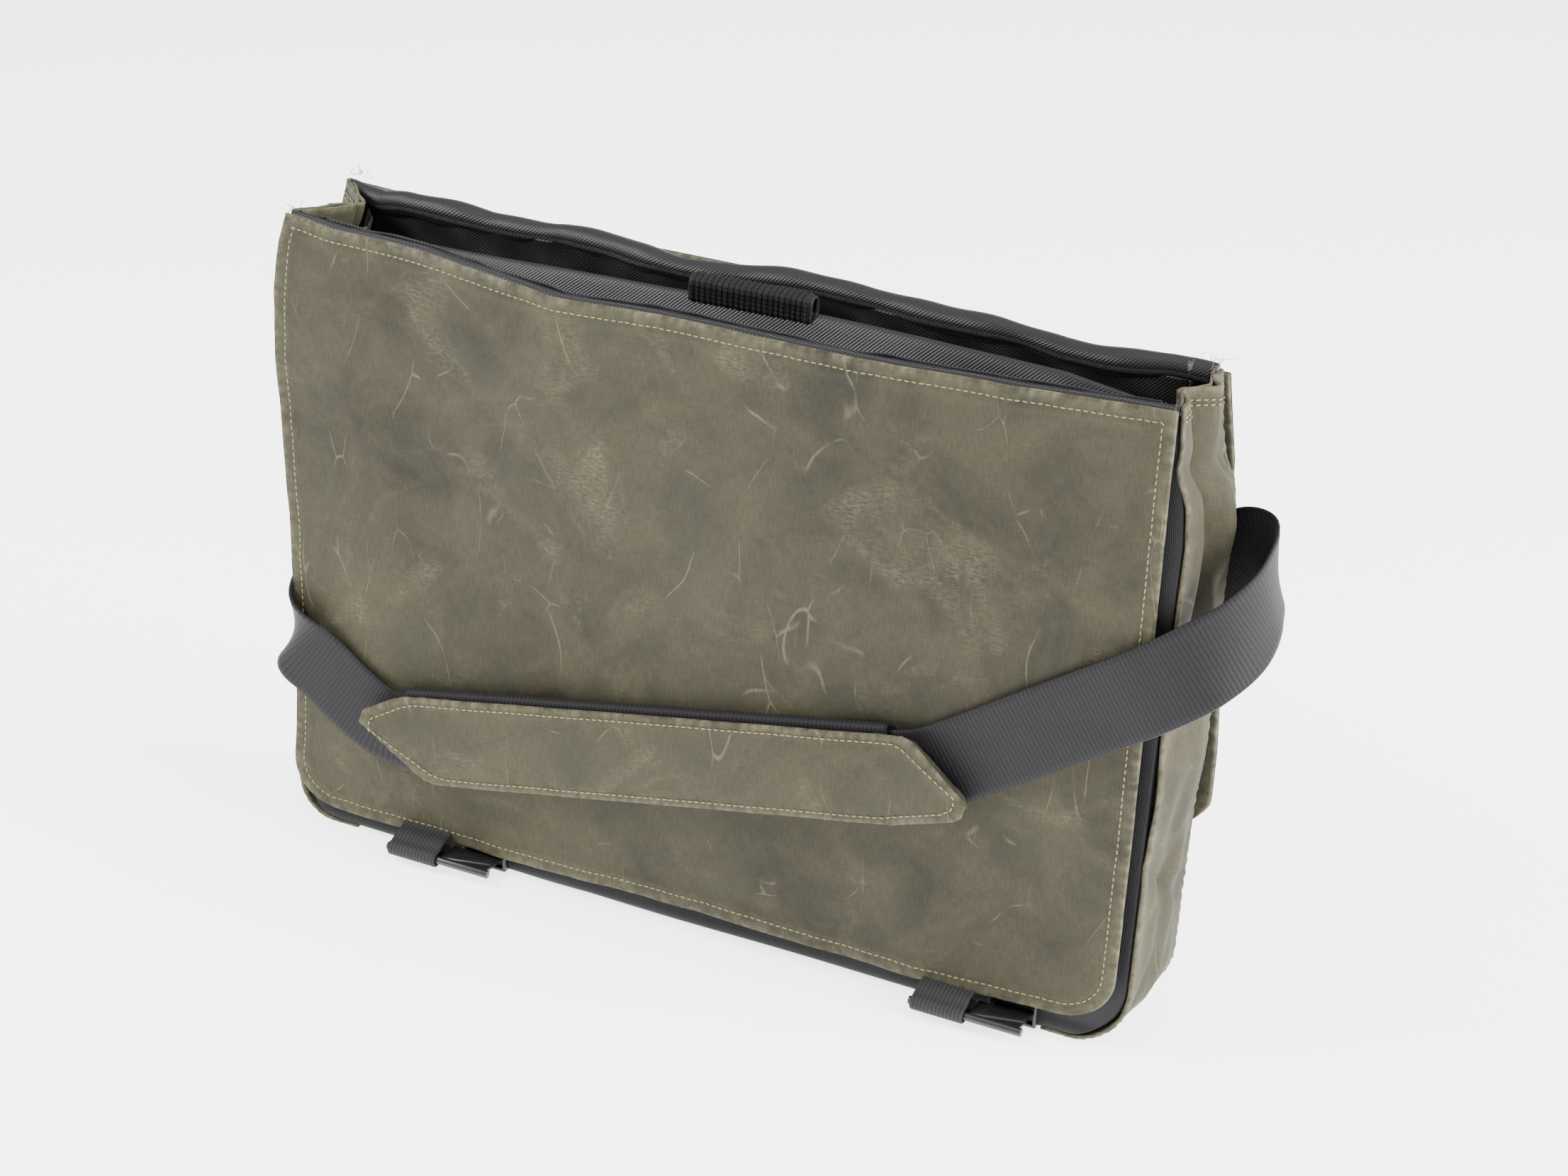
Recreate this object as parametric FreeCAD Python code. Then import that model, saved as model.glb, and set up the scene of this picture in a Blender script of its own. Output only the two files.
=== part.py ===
import FreeCAD, Part
import math
import os

from FreeCAD import Vector

# A messenger-style satchel, in millimetres. X runs along the bag, -Y is the front, Z is up.
# The origin is the middle of the underside of the base.

# Carcass
bag_width = 430.0
bag_depth = 48.0
bag_height = 310.0
wall_thickness = 3.0
corner_radius = 22.0
gusset_wrap = 12.0
gusset_hem_height = 18.0
gusset_hem_thickness = 1.2

# Lining and what stands inside
lining_thickness = 1.0
lining_gap = 0.3
side_lining_drop = 20.0
stiffener_thickness = 2.0
stiffener_margin = 2.0
divider_thickness = 5.0
laptop_space = 12.0
divider_drop = 4.0
divider_side_gap = 1.5
tab_width = 58.0
tab_height = 10.0
tab_thickness = 1.6
tab_offset = 3.0

# Front cover, hung from a rolled hem on the front top edge
canvas_thickness = 1.8
cover_lining_thickness = 1.2
cover_gap = 4.0
cover_base_gap = 14.0
cover_corner = 25.0
hem_radius = 2.2
hem_clearance = 0.4
hem_web = 2.0

# Elastic loops and hooks
elastic_width = 25.0
elastic_thickness = 1.4
elastic_spread = 274.0
bar_radius = 2.0
bar_clearance = 0.35
bar_forward = 12.0
bar_height = 7.0
bar_tail = 28.0
bar_lead = 2.0
tongue_width = 18.0
tongue_thickness = 2.0
tongue_swing = 10.0
keeper_depth = 5.0
keeper_wall = 1.5
keeper_side_clearance = 1.2
keeper_slot_clearance = 0.5
wall_clearance = 0.8

# Main flap, hung from a rolled hem on the back top edge
flap_length = 240.0
flap_corner = 28.0
flap_rise = 4.0
flap_stand_off = 7.0
flap_front_clearance = 3.0
flap_hem_clearance = 1.0
flap_web = 1.2
flap_web_strip = 1.6
welt_radius = 1.2
welt_web = 1.0

# Shoulder strap and pad
strap_width = 38.0
strap_thickness = 1.6
strap_clearance = 1.4
strap_side_gap = 3.0
strap_pivot_drop = 25.0
strap_roll_radius = 1.5
strap_roll_length = 40.0
strap_roll_spread = 260.0
strap_left_height = 100.0
strap_left_slope = 0.66
strap_left_bend = 57.0
strap_run_slope = 0.195
strap_right_bend = 97.0
strap_right_slope = 0.68
strap_split_gap = 0.4
loop_reach = 44.0
loop_rise = 8.0
loop_turn = 14.0
loop_turn_inset = 8.0
loop_flat = 8.0
loop_end_height = 212.0
pad_length = 310.0
pad_width = 47.0
pad_offset = 8.0
pad_foam = 5.0
pad_canvas_thickness = 1.5
pad_foam_inset = 3.0
sleeve_wall = 1.2
sleeve_clearance = 0.6
pad_travel = 10.0
pad_end_clearance = 1.0
anchor_inset = 79.2
left_anchor_drop = 46.7
right_anchor_fall = 79.2
anchor_length = 44.0
anchor_thickness = 1.8

# Derived positions
half_width = bag_width / 2
half_depth = bag_depth / 2
inner_half_depth = half_depth - wall_thickness
lining_face = inner_half_depth - lining_gap - lining_thickness
cover_inner = -half_depth - cover_gap
cover_outer = cover_inner - cover_lining_thickness - canvas_thickness
cover_axis_y = (cover_inner + cover_outer) / 2
cover_axis_z = bag_height - 1.0
cover_top = cover_axis_z - hem_radius - hem_clearance
sleeve_back = cover_outer - strap_clearance
strap_back = sleeve_back - sleeve_wall - sleeve_clearance
strap_front = strap_back - strap_thickness
sleeve_front = strap_front - sleeve_clearance - sleeve_wall
foam_front = sleeve_front - pad_foam
pad_front = foam_front - pad_canvas_thickness
flap_thickness = canvas_thickness + cover_lining_thickness
flap_axis_y = half_depth + flap_stand_off
flap_axis_z = bag_height + flap_rise
flap_top_length = flap_axis_y - pad_front + flap_front_clearance + flap_thickness / 2
flap_start = hem_radius + flap_hem_clearance
fold_gap = flap_thickness / 2 + hem_clearance
fold_z = flap_axis_z - flap_top_length
strap_axis_y = half_depth + 3.0
strap_axis_z = bag_height - strap_pivot_drop
bar_y = cover_outer - bar_forward
strap_side_x = half_width + strap_side_gap
run_direction = Vector(1, 0, strap_run_slope).normalize()


def block(x0, x1, y0, y1, z0, z1):
    return Part.makeBox(x1 - x0, y1 - y0, z1 - z0, Vector(x0, y0, z0))


def rod(x0, x1, y, z, radius):
    return Part.makeCylinder(radius, x1 - x0, Vector(x0, y, z), Vector(1, 0, 0))


def prism_y(points, y0, y1):
    """A solid with an outline in X and Z, between two values of Y."""
    ring = [Vector(x, y0, z) for x, z in points]
    face = Part.Face(Part.makePolygon(ring + ring[:1]))
    return face.extrude(Vector(0, y1 - y0, 0))


def prism_x(points, x0, x1):
    """A solid with an outline in Y and Z, between two values of X."""
    ring = [Vector(x0, y, z) for y, z in points]
    face = Part.Face(Part.makePolygon(ring + ring[:1]))
    return face.extrude(Vector(x1 - x0, 0, 0))


def sheet_y(x0, x1, z0, z1, y0, y1, radius):
    """An upright sheet whose two bottom corners are rounded."""
    solid = block(x0, x1, y0, y1, z0, z1)
    low = [
        e
        for e in solid.Edges
        if abs(e.BoundBox.ZMax - z0) < 0.001 and e.BoundBox.XLength < 0.001
    ]
    return solid.makeFillet(radius, low)


def ribbon(stations, thickness):
    """A band standing on edge along stations of x, y, middle height and half height."""
    plan = [Vector(s[0], s[1], 0) for s in stations]
    runs = [(b - a).normalize() for a, b in zip(plan, plan[1:])]
    sides = [Vector(-r.y, r.x, 0) for r in runs]
    offsets = [sides[0]]
    for a, b in zip(sides, sides[1:]):
        middle = (a + b).normalize()
        offsets.append(middle * (1 / middle.dot(a)))
    offsets.append(sides[-1])
    rings = []
    for point, offset, station in zip(plan, offsets, stations):
        shift = offset * (thickness / 2)
        low, high = station[2] - station[3], station[2] + station[3]
        rings.append(
            [
                Vector(point.x + side * shift.x, point.y + side * shift.y, z)
                for side, z in ((1, low), (1, high), (-1, high), (-1, low))
            ]
        )
    faces = []
    for ring in (rings[0], rings[-1]):
        faces.append(Part.Face(Part.makePolygon(ring + ring[:1])))
    for a, b in zip(rings, rings[1:]):
        for k in range(4):
            n = (k + 1) % 4
            for corners in ((a[k], a[n], b[n]), (a[k], b[n], b[k])):
                faces.append(Part.Face(Part.makePolygon([*corners, corners[0]])))
    solid = Part.makeSolid(Part.makeShell(faces))
    if solid.Volume < 0:
        solid.reverse()
    return solid.removeSplitter()


def walls():
    """Front and back panels, and the stiffened base between the gussets."""
    front = sheet_y(
        -half_width, half_width, 0, bag_height, -half_depth, -inner_half_depth, corner_radius
    )
    back = sheet_y(
        -half_width, half_width, 0, bag_height, inner_half_depth, half_depth, corner_radius
    )
    reach = half_width - corner_radius - gusset_wrap
    base = block(-reach, reach, -inner_half_depth, inner_half_depth, 0, wall_thickness)
    board_x = reach - stiffener_margin
    board_y = inner_half_depth - stiffener_margin
    top = wall_thickness + stiffener_thickness
    board = block(-board_x, board_x, -board_y, board_y, wall_thickness, top)
    return {
        "front_wall": front,
        "back_wall": back,
        "base_panel": base,
        "base_stiffener": board,
    }


def gusset(side):
    """One end panel, curved under the bag's bottom corner."""
    r, t = corner_radius, wall_thickness
    cx, cz = side * (half_width - r), r
    diagonal = math.sqrt(0.5)

    def at(x, z):
        return Vector(x, -inner_half_depth, z)

    def arc(radius):
        a = at(cx + side * radius, cz)
        b = at(cx + side * radius * diagonal, cz - radius * diagonal)
        return a, b, at(cx, cz - radius)

    outer, inner = arc(r), arc(r - t)
    end = cx - side * gusset_wrap
    edges = [
        Part.LineSegment(at(side * half_width, bag_height), outer[0]).toShape(),
        Part.Arc(*outer).toShape(),
        Part.LineSegment(outer[2], at(end, 0)).toShape(),
        Part.LineSegment(at(end, 0), at(end, t)).toShape(),
        Part.LineSegment(at(end, t), inner[2]).toShape(),
        Part.Arc(*inner[::-1]).toShape(),
        Part.LineSegment(inner[0], at(side * (half_width - t), bag_height)).toShape(),
    ]
    edges.append(
        Part.LineSegment(
            at(side * (half_width - t), bag_height), at(side * half_width, bag_height)
        ).toShape()
    )
    face = Part.Face(Part.Wire(edges))
    return face.extrude(Vector(0, 2 * inner_half_depth, 0))


def span(side, near, far):
    """Two X values, in order, at two distances from the middle on one side."""
    return sorted((side * near, side * far))


def end_panels():
    nodes = {}
    for name, side in (("left", -1), ("right", 1)):
        nodes["gusset_" + name] = gusset(side)
        face = half_width - wall_thickness
        hem = span(side, face - gusset_hem_thickness, face)
        nodes["gusset_hem_" + name] = block(
            *hem,
            -inner_half_depth,
            inner_half_depth,
            bag_height - gusset_hem_height,
            bag_height,
        )
    return nodes


def lining():
    """Twill panels just inside the walls, the gussets and the base board."""
    floor = wall_thickness + stiffener_thickness + lining_gap
    floor_top = floor + lining_thickness
    side_face = half_width - corner_radius + 2 * wall_thickness
    outer = inner_half_depth - lining_gap
    top = bag_height - lining_gap
    nodes = {
        "lining_front": block(-side_face, side_face, -outer, -lining_face, floor_top, top),
        "lining_back": block(-side_face, side_face, lining_face, outer, floor_top, top),
    }
    reach = half_width - corner_radius
    nodes["lining_floor"] = block(-reach, reach, -outer, outer, floor, floor_top)
    far = half_width - wall_thickness - lining_gap
    for name, side in (("left", -1), ("right", 1)):
        x = span(side, far - lining_thickness, far)
        nodes["lining_" + name] = block(
            *x,
            -outer,
            outer,
            corner_radius,
            bag_height - side_lining_drop,
        )
    return nodes


def laptop_divider():
    """A padded panel in front of the back lining, with a webbing tab over its top edge."""
    back = lining_face - laptop_space
    front = back - divider_thickness
    floor = wall_thickness + stiffener_thickness + lining_gap + lining_thickness
    side = half_width - corner_radius - divider_side_gap
    top = bag_height - divider_drop
    panel = block(-side, side, front, back, floor, top)
    x0, x1 = tab_offset - tab_width / 2, tab_offset + tab_width / 2
    outside = block(
        x0, x1, front - tab_thickness, back + tab_thickness, top - tab_height, top + tab_thickness
    )
    tab = outside.cut(block(x0, x1, front, back, top - tab_height, top))
    return {"laptop_sleeve": panel, "sleeve_pull_tab": tab}


def top_hems():
    """Rolled hems that carry the cover and the flap, each with a web to its wall."""
    front = rod(-half_width, half_width, cover_axis_y, cover_axis_z, hem_radius)
    web = block(
        -half_width,
        half_width,
        cover_axis_y,
        -half_depth,
        cover_axis_z - hem_web / 2,
        cover_axis_z + hem_web / 2,
    )
    back = rod(-half_width, half_width, flap_axis_y, flap_axis_z, hem_radius)
    # The web climbs at 45 degrees, between where the flap hangs and where it lies closed.
    skew = flap_web / 2 * math.sqrt(0.5)
    foot = flap_axis_z - flap_stand_off
    strip = half_depth + flap_web_strip
    low = bag_height - gusset_hem_height
    riser = prism_x(
        [
            (half_depth, low),
            (half_depth, foot + 2 * skew),
            (flap_axis_y - skew, flap_axis_z + skew),
            (flap_axis_y + skew, flap_axis_z - skew),
            (strip, foot + flap_web_strip - 2 * skew),
            (strip, low),
        ],
        -half_width,
        half_width,
    )
    return {
        "front_top_hem": front.fuse(web).removeSplitter(),
        "back_top_hem": back.fuse(riser).removeSplitter(),
    }


def front_cover():
    """Two layers of fabric that hang from the front hem."""
    seam = cover_inner - cover_lining_thickness
    shape = (-half_width, half_width, cover_base_gap, cover_top)
    return {
        "front_cover_lining": sheet_y(*shape, seam, cover_inner, cover_corner),
        "front_cover_canvas": sheet_y(*shape, cover_outer, seam, cover_corner),
    }


def fastener_middles():
    return {"left": -elastic_spread / 2, "right": elastic_spread / 2}


def elastic_loops():
    """Elastic bands sewn into the cover's hem, each turned round a hook's bar."""
    nodes = {}
    bore = bar_radius + bar_clearance
    outer = bore + elastic_thickness
    seam = cover_inner - cover_lining_thickness
    for name, middle in fastener_middles().items():
        x0, x1 = middle - elastic_width / 2, middle + elastic_width / 2
        tail = prism_x(
            [
                (seam - 1.0, cover_base_gap),
                (seam + 1.0, cover_base_gap),
                (bar_y + 1.0, bar_height - outer + 0.4),
                (bar_y - 1.0, bar_height + outer - 0.4),
            ],
            x0,
            x1,
        )
        ring = rod(x0, x1, bar_y, bar_height, outer)
        hole = rod(x0, x1, bar_y, bar_height, bore)
        nodes["elastic_loop_" + name] = ring.fuse(tail).cut(hole).removeSplitter()
    return nodes


def tongue_reach():
    return -half_depth - wall_clearance - bar_y


def hooks():
    """Bars held by the elastic loops, each with a flat tongue towards the base."""
    nodes = {}
    for name, middle in fastener_middles().items():
        start = middle - elastic_width / 2 - bar_lead
        end = middle + elastic_width / 2 + bar_tail
        bar = rod(start, end, bar_y, bar_height, bar_radius)
        half = tongue_thickness / 2
        tongue = block(
            end - tongue_width - bar_lead,
            end - bar_lead,
            bar_y,
            bar_y + tongue_reach(),
            bar_height - half,
            bar_height + half,
        )
        nodes["hook_" + name] = bar.fuse(tongue).removeSplitter()
    return nodes


def hook_keepers():
    """Webbing eyes on the front wall that the tongues push into."""
    nodes = {}
    rise = tongue_reach() * math.sin(math.radians(tongue_swing))
    half = tongue_thickness / 2 + rise + keeper_slot_clearance
    for name, middle in fastener_middles().items():
        end = middle + elastic_width / 2 + bar_tail - bar_lead
        x0 = end - tongue_width - keeper_side_clearance
        x1 = end + keeper_side_clearance
        y0, y1 = -half_depth - keeper_depth, -half_depth
        low = max(bar_height - half, keeper_wall)
        high = bar_height + half
        body = block(
            x0 - keeper_wall, x1 + keeper_wall, y0 + 1.4, y1, low - keeper_wall, high + keeper_wall
        )
        nodes["hook_keeper_" + name] = body.cut(block(x0, x1, y0, y1, low, high))
    return nodes


def main_flap():
    """The flap as it hangs thrown back: a top part and, past a fold, a front part."""
    half = flap_thickness / 2
    near, far = flap_axis_y - half, flap_axis_y + half
    seam = near + canvas_thickness
    top = (-half_width, half_width)
    z0, z1 = fold_z + fold_gap, flap_axis_z - flap_start
    end = flap_axis_z - flap_length
    front = (-half_width, half_width, end, fold_z - fold_gap)
    welt = rod(-half_width, half_width, flap_axis_y, fold_z, welt_radius)
    link = block(
        -half_width,
        half_width,
        flap_axis_y - welt_web / 2,
        flap_axis_y + welt_web / 2,
        fold_z,
        fold_z + fold_gap,
    )
    return {
        "flap_top_canvas": block(*top, near, seam, z0, z1),
        "flap_top_lining": block(*top, seam, far, z0, z1),
        "flap_fold_welt": welt.fuse(link).removeSplitter(),
        "flap_front_canvas": sheet_y(*front, near, seam, flap_corner),
        "flap_front_lining": sheet_y(*front, seam, far, flap_corner),
    }


def strap_stations():
    """Where the strap's middle line goes: round the left end, over the cover, out past the right."""
    y = (strap_back + strap_front) / 2
    side = strap_side_x + strap_thickness / 2

    def half(slope):
        return strap_width / 2 * math.hypot(1, slope)

    left_z = strap_left_height + (strap_side_gap + strap_thickness / 2) * strap_left_slope
    steep, flat = half(strap_left_slope), half(strap_run_slope)
    rise = half(strap_right_slope)
    first_x = -half_width + strap_left_bend
    first_z = left_z - (first_x + side) * strap_left_slope
    second_x = half_width - strap_right_bend
    second_z = first_z + (second_x - first_x) * strap_run_slope
    edge_z = second_z + (side - second_x) * strap_right_slope
    back_y = strap_axis_y
    back_z = left_z + (back_y - y) * strap_left_slope
    bulge = side + loop_reach
    turn = bulge - loop_turn_inset
    middle_y, gap = (y + back_y) / 2, strap_split_gap / 2
    loop_z = (edge_z + loop_end_height) / 2 + loop_rise
    turn_z = loop_z - loop_rise / 4
    split_z = (left_z + back_z) / 2
    return {
        "strap_left_rear": [
            (-side, back_y, back_z, steep),
            (-side, middle_y + gap, split_z, steep),
        ],
        "strap_left_run": [
            (-side, middle_y - gap, split_z, steep),
            (-side, y, left_z, steep),
            (first_x, y, first_z, (steep + flat) / 2),
        ],
        "strap_front_run": [
            (first_x, y, first_z, (steep + flat) / 2),
            (first_x + strap_width / 2, y, first_z + strap_width / 2 * strap_run_slope, flat),
            (second_x - strap_width / 2, y, second_z - strap_width / 2 * strap_run_slope, flat),
            (second_x, y, second_z, (flat + rise) / 2),
        ],
        "strap_right_loop": [
            (second_x, y, second_z, (flat + rise) / 2),
            (side, y, edge_z, rise),
            (turn, y + loop_turn, turn_z, rise),
            (bulge, middle_y - gap - loop_flat, loop_z, rise),
            (bulge, middle_y - gap, loop_z, rise),
        ],
        "strap_right_rear": [
            (bulge, middle_y + gap, loop_z, rise),
            (bulge, middle_y + gap + loop_flat, loop_z, rise),
            (turn, back_y - loop_turn, turn_z, rise),
            (side, back_y, loop_end_height, rise),
        ],
    }


def strap():
    return {name: ribbon(s, strap_thickness) for name, s in strap_stations().items()}


def strap_ends():
    """Webbing sewn to the back wall, and the rolled stubs that the strap swings from."""
    nodes = {}
    stations = strap_stations()
    y0, y1 = half_depth, half_depth + strap_thickness
    left_z = stations["strap_left_rear"][0][2]
    right_z = stations["strap_right_rear"][-1][2]
    for name, side, start_z, end_z in (
        ("left", -1, left_z, strap_axis_z - left_anchor_drop),
        ("right", 1, right_z, right_z - right_anchor_fall),
    ):
        start = Vector(side * half_width, 0, start_z)
        end = Vector(side * (half_width - anchor_inset), 0, end_z)
        go = (end - start).normalize()
        wide = Vector(-go.z, 0, go.x) * (strap_width / 2)
        corners = [start + wide, start - wide, end - wide, end + wide]
        band = prism_y([(p.x, p.z) for p in corners], y0, y1)
        limit = block(-half_width, half_width, y0, y1, 0, bag_height)
        nodes["strap_tail_" + name] = band.common(limit)
        near = end - go * anchor_length
        patch = [near + wide, near - wide, end - wide, end + wide]
        nodes["strap_anchor_" + name] = prism_y(
            [(p.x, p.z) for p in patch], y1, y1 + anchor_thickness
        )
        middle = side * strap_roll_spread / 2
        nodes["strap_roll_" + name] = rod(
            middle - strap_roll_length / 2,
            middle + strap_roll_length / 2,
            strap_axis_y,
            strap_axis_z,
            strap_roll_radius,
        )
    return nodes


def shoulder_pad():
    """Canvas over foam, with a webbing sleeve behind that the strap runs through."""
    run = strap_stations()["strap_front_run"]
    start, end = (Vector(run[k][0], 0, run[k][2]) for k in (1, -2))
    origin = (start + end) * 0.5 + run_direction * pad_offset
    up = Vector(-run_direction.z, 0, run_direction.x)
    long, high = pad_length / 2, pad_width / 2

    def outline(inset):
        a, b = long - inset, high - inset
        local = [
            (-a, b * 0.25),
            (-a + high * 1.4, -b),
            (a - high * 0.2, -b),
            (a, -b * 0.6),
            (a - high * 0.9, b),
            (-a + high * 0.8, b),
        ]
        points = [origin + run_direction * u + up * v for u, v in local]
        return [(p.x, p.z) for p in points]

    def tube(length, height, y0, y1):
        corners = [(-length, -height), (length, -height), (length, height), (-length, height)]
        points = [origin + run_direction * u + up * v for u, v in corners]
        return prism_y([(p.x, p.z) for p in points], y0, y1)

    straight = (end - start).Length / 2
    reach = straight - pad_travel - abs(pad_offset) - pad_end_clearance
    bore = strap_width / 2 + sleeve_clearance
    shell = tube(reach, bore + sleeve_wall, sleeve_front, sleeve_back)
    hollow = tube(
        reach + 1.0, bore, sleeve_front + sleeve_wall, sleeve_back - sleeve_wall
    )
    return {
        "pad_sleeve": shell.cut(hollow),
        "pad_foam": prism_y(outline(pad_foam_inset), foam_front, sleeve_front),
        "pad_canvas": prism_y(outline(0), pad_front, foam_front),
    }


def main():
    os.makedirs("parts", exist_ok=True)
    groups = (
        walls,
        end_panels,
        lining,
        laptop_divider,
        top_hems,
        front_cover,
        elastic_loops,
        hooks,
        hook_keepers,
        main_flap,
        strap,
        strap_ends,
        shoulder_pad,
    )
    for group in groups:
        for name, shape in group().items():
            shape.exportStep(os.path.join("parts", name + ".step"))
            valid = shape.isValid() and len(shape.Solids) == 1
            print(f"{name:22s} {shape.Volume:12.1f} mm3  {'ok' if valid else 'CHECK'}")


main()
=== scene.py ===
import math

import bmesh
import bpy
import numpy as np
from mathutils import Matrix, Vector


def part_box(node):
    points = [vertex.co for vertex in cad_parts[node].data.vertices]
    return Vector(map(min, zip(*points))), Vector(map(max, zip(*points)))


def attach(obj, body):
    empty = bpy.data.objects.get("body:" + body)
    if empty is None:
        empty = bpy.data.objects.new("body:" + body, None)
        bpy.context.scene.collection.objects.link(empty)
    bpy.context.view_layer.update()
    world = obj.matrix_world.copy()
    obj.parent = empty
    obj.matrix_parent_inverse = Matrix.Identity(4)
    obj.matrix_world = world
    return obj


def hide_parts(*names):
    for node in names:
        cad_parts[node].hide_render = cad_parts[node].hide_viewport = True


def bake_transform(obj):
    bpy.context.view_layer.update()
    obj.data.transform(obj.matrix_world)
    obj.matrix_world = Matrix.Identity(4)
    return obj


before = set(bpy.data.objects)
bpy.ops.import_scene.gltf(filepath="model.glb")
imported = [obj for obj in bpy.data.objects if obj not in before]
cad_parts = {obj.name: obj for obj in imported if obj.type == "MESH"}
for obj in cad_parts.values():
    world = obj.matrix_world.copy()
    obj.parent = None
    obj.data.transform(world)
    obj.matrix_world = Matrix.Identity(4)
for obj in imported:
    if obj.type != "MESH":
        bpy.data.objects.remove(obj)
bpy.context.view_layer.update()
mm = 0.001
halfWidth = 215.0


# Colours and shader nodes

def colour(code):
    parts = [int(code[i : i + 2], 16) / 255 for i in (1, 3, 5)]
    linear = [c / 12.92 if c <= 0.04045 else ((c + 0.055) / 1.055) ** 2.4 for c in parts]
    return (*linear, 1.0)


def add(tree, kind, inputs=None, **settings):
    # Adds one node. An input takes a value, a socket, or a node, whose first output is meant.
    node = tree.nodes.new(kind)
    for key, value in settings.items():
        setattr(node, key, value)
    for key, value in (inputs or {}).items():
        if isinstance(value, bpy.types.Node):
            value = value.outputs[0]
        if isinstance(value, bpy.types.NodeSocket):
            tree.links.new(value, node.inputs[key])
        else:
            node.inputs[key].default_value = value
    return node


def newMaterial(name):
    material = bpy.data.materials.new(name)
    material.use_nodes = True
    tree = material.node_tree
    tree.nodes.clear()
    shader = add(tree, "ShaderNodeBsdfPrincipled")
    add(tree, "ShaderNodeOutputMaterial", {0: shader})
    return material, tree, shader


def perMetre(size):
    return 1000 / size  # how many marks of this size, in millimetres, go into a metre


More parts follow.
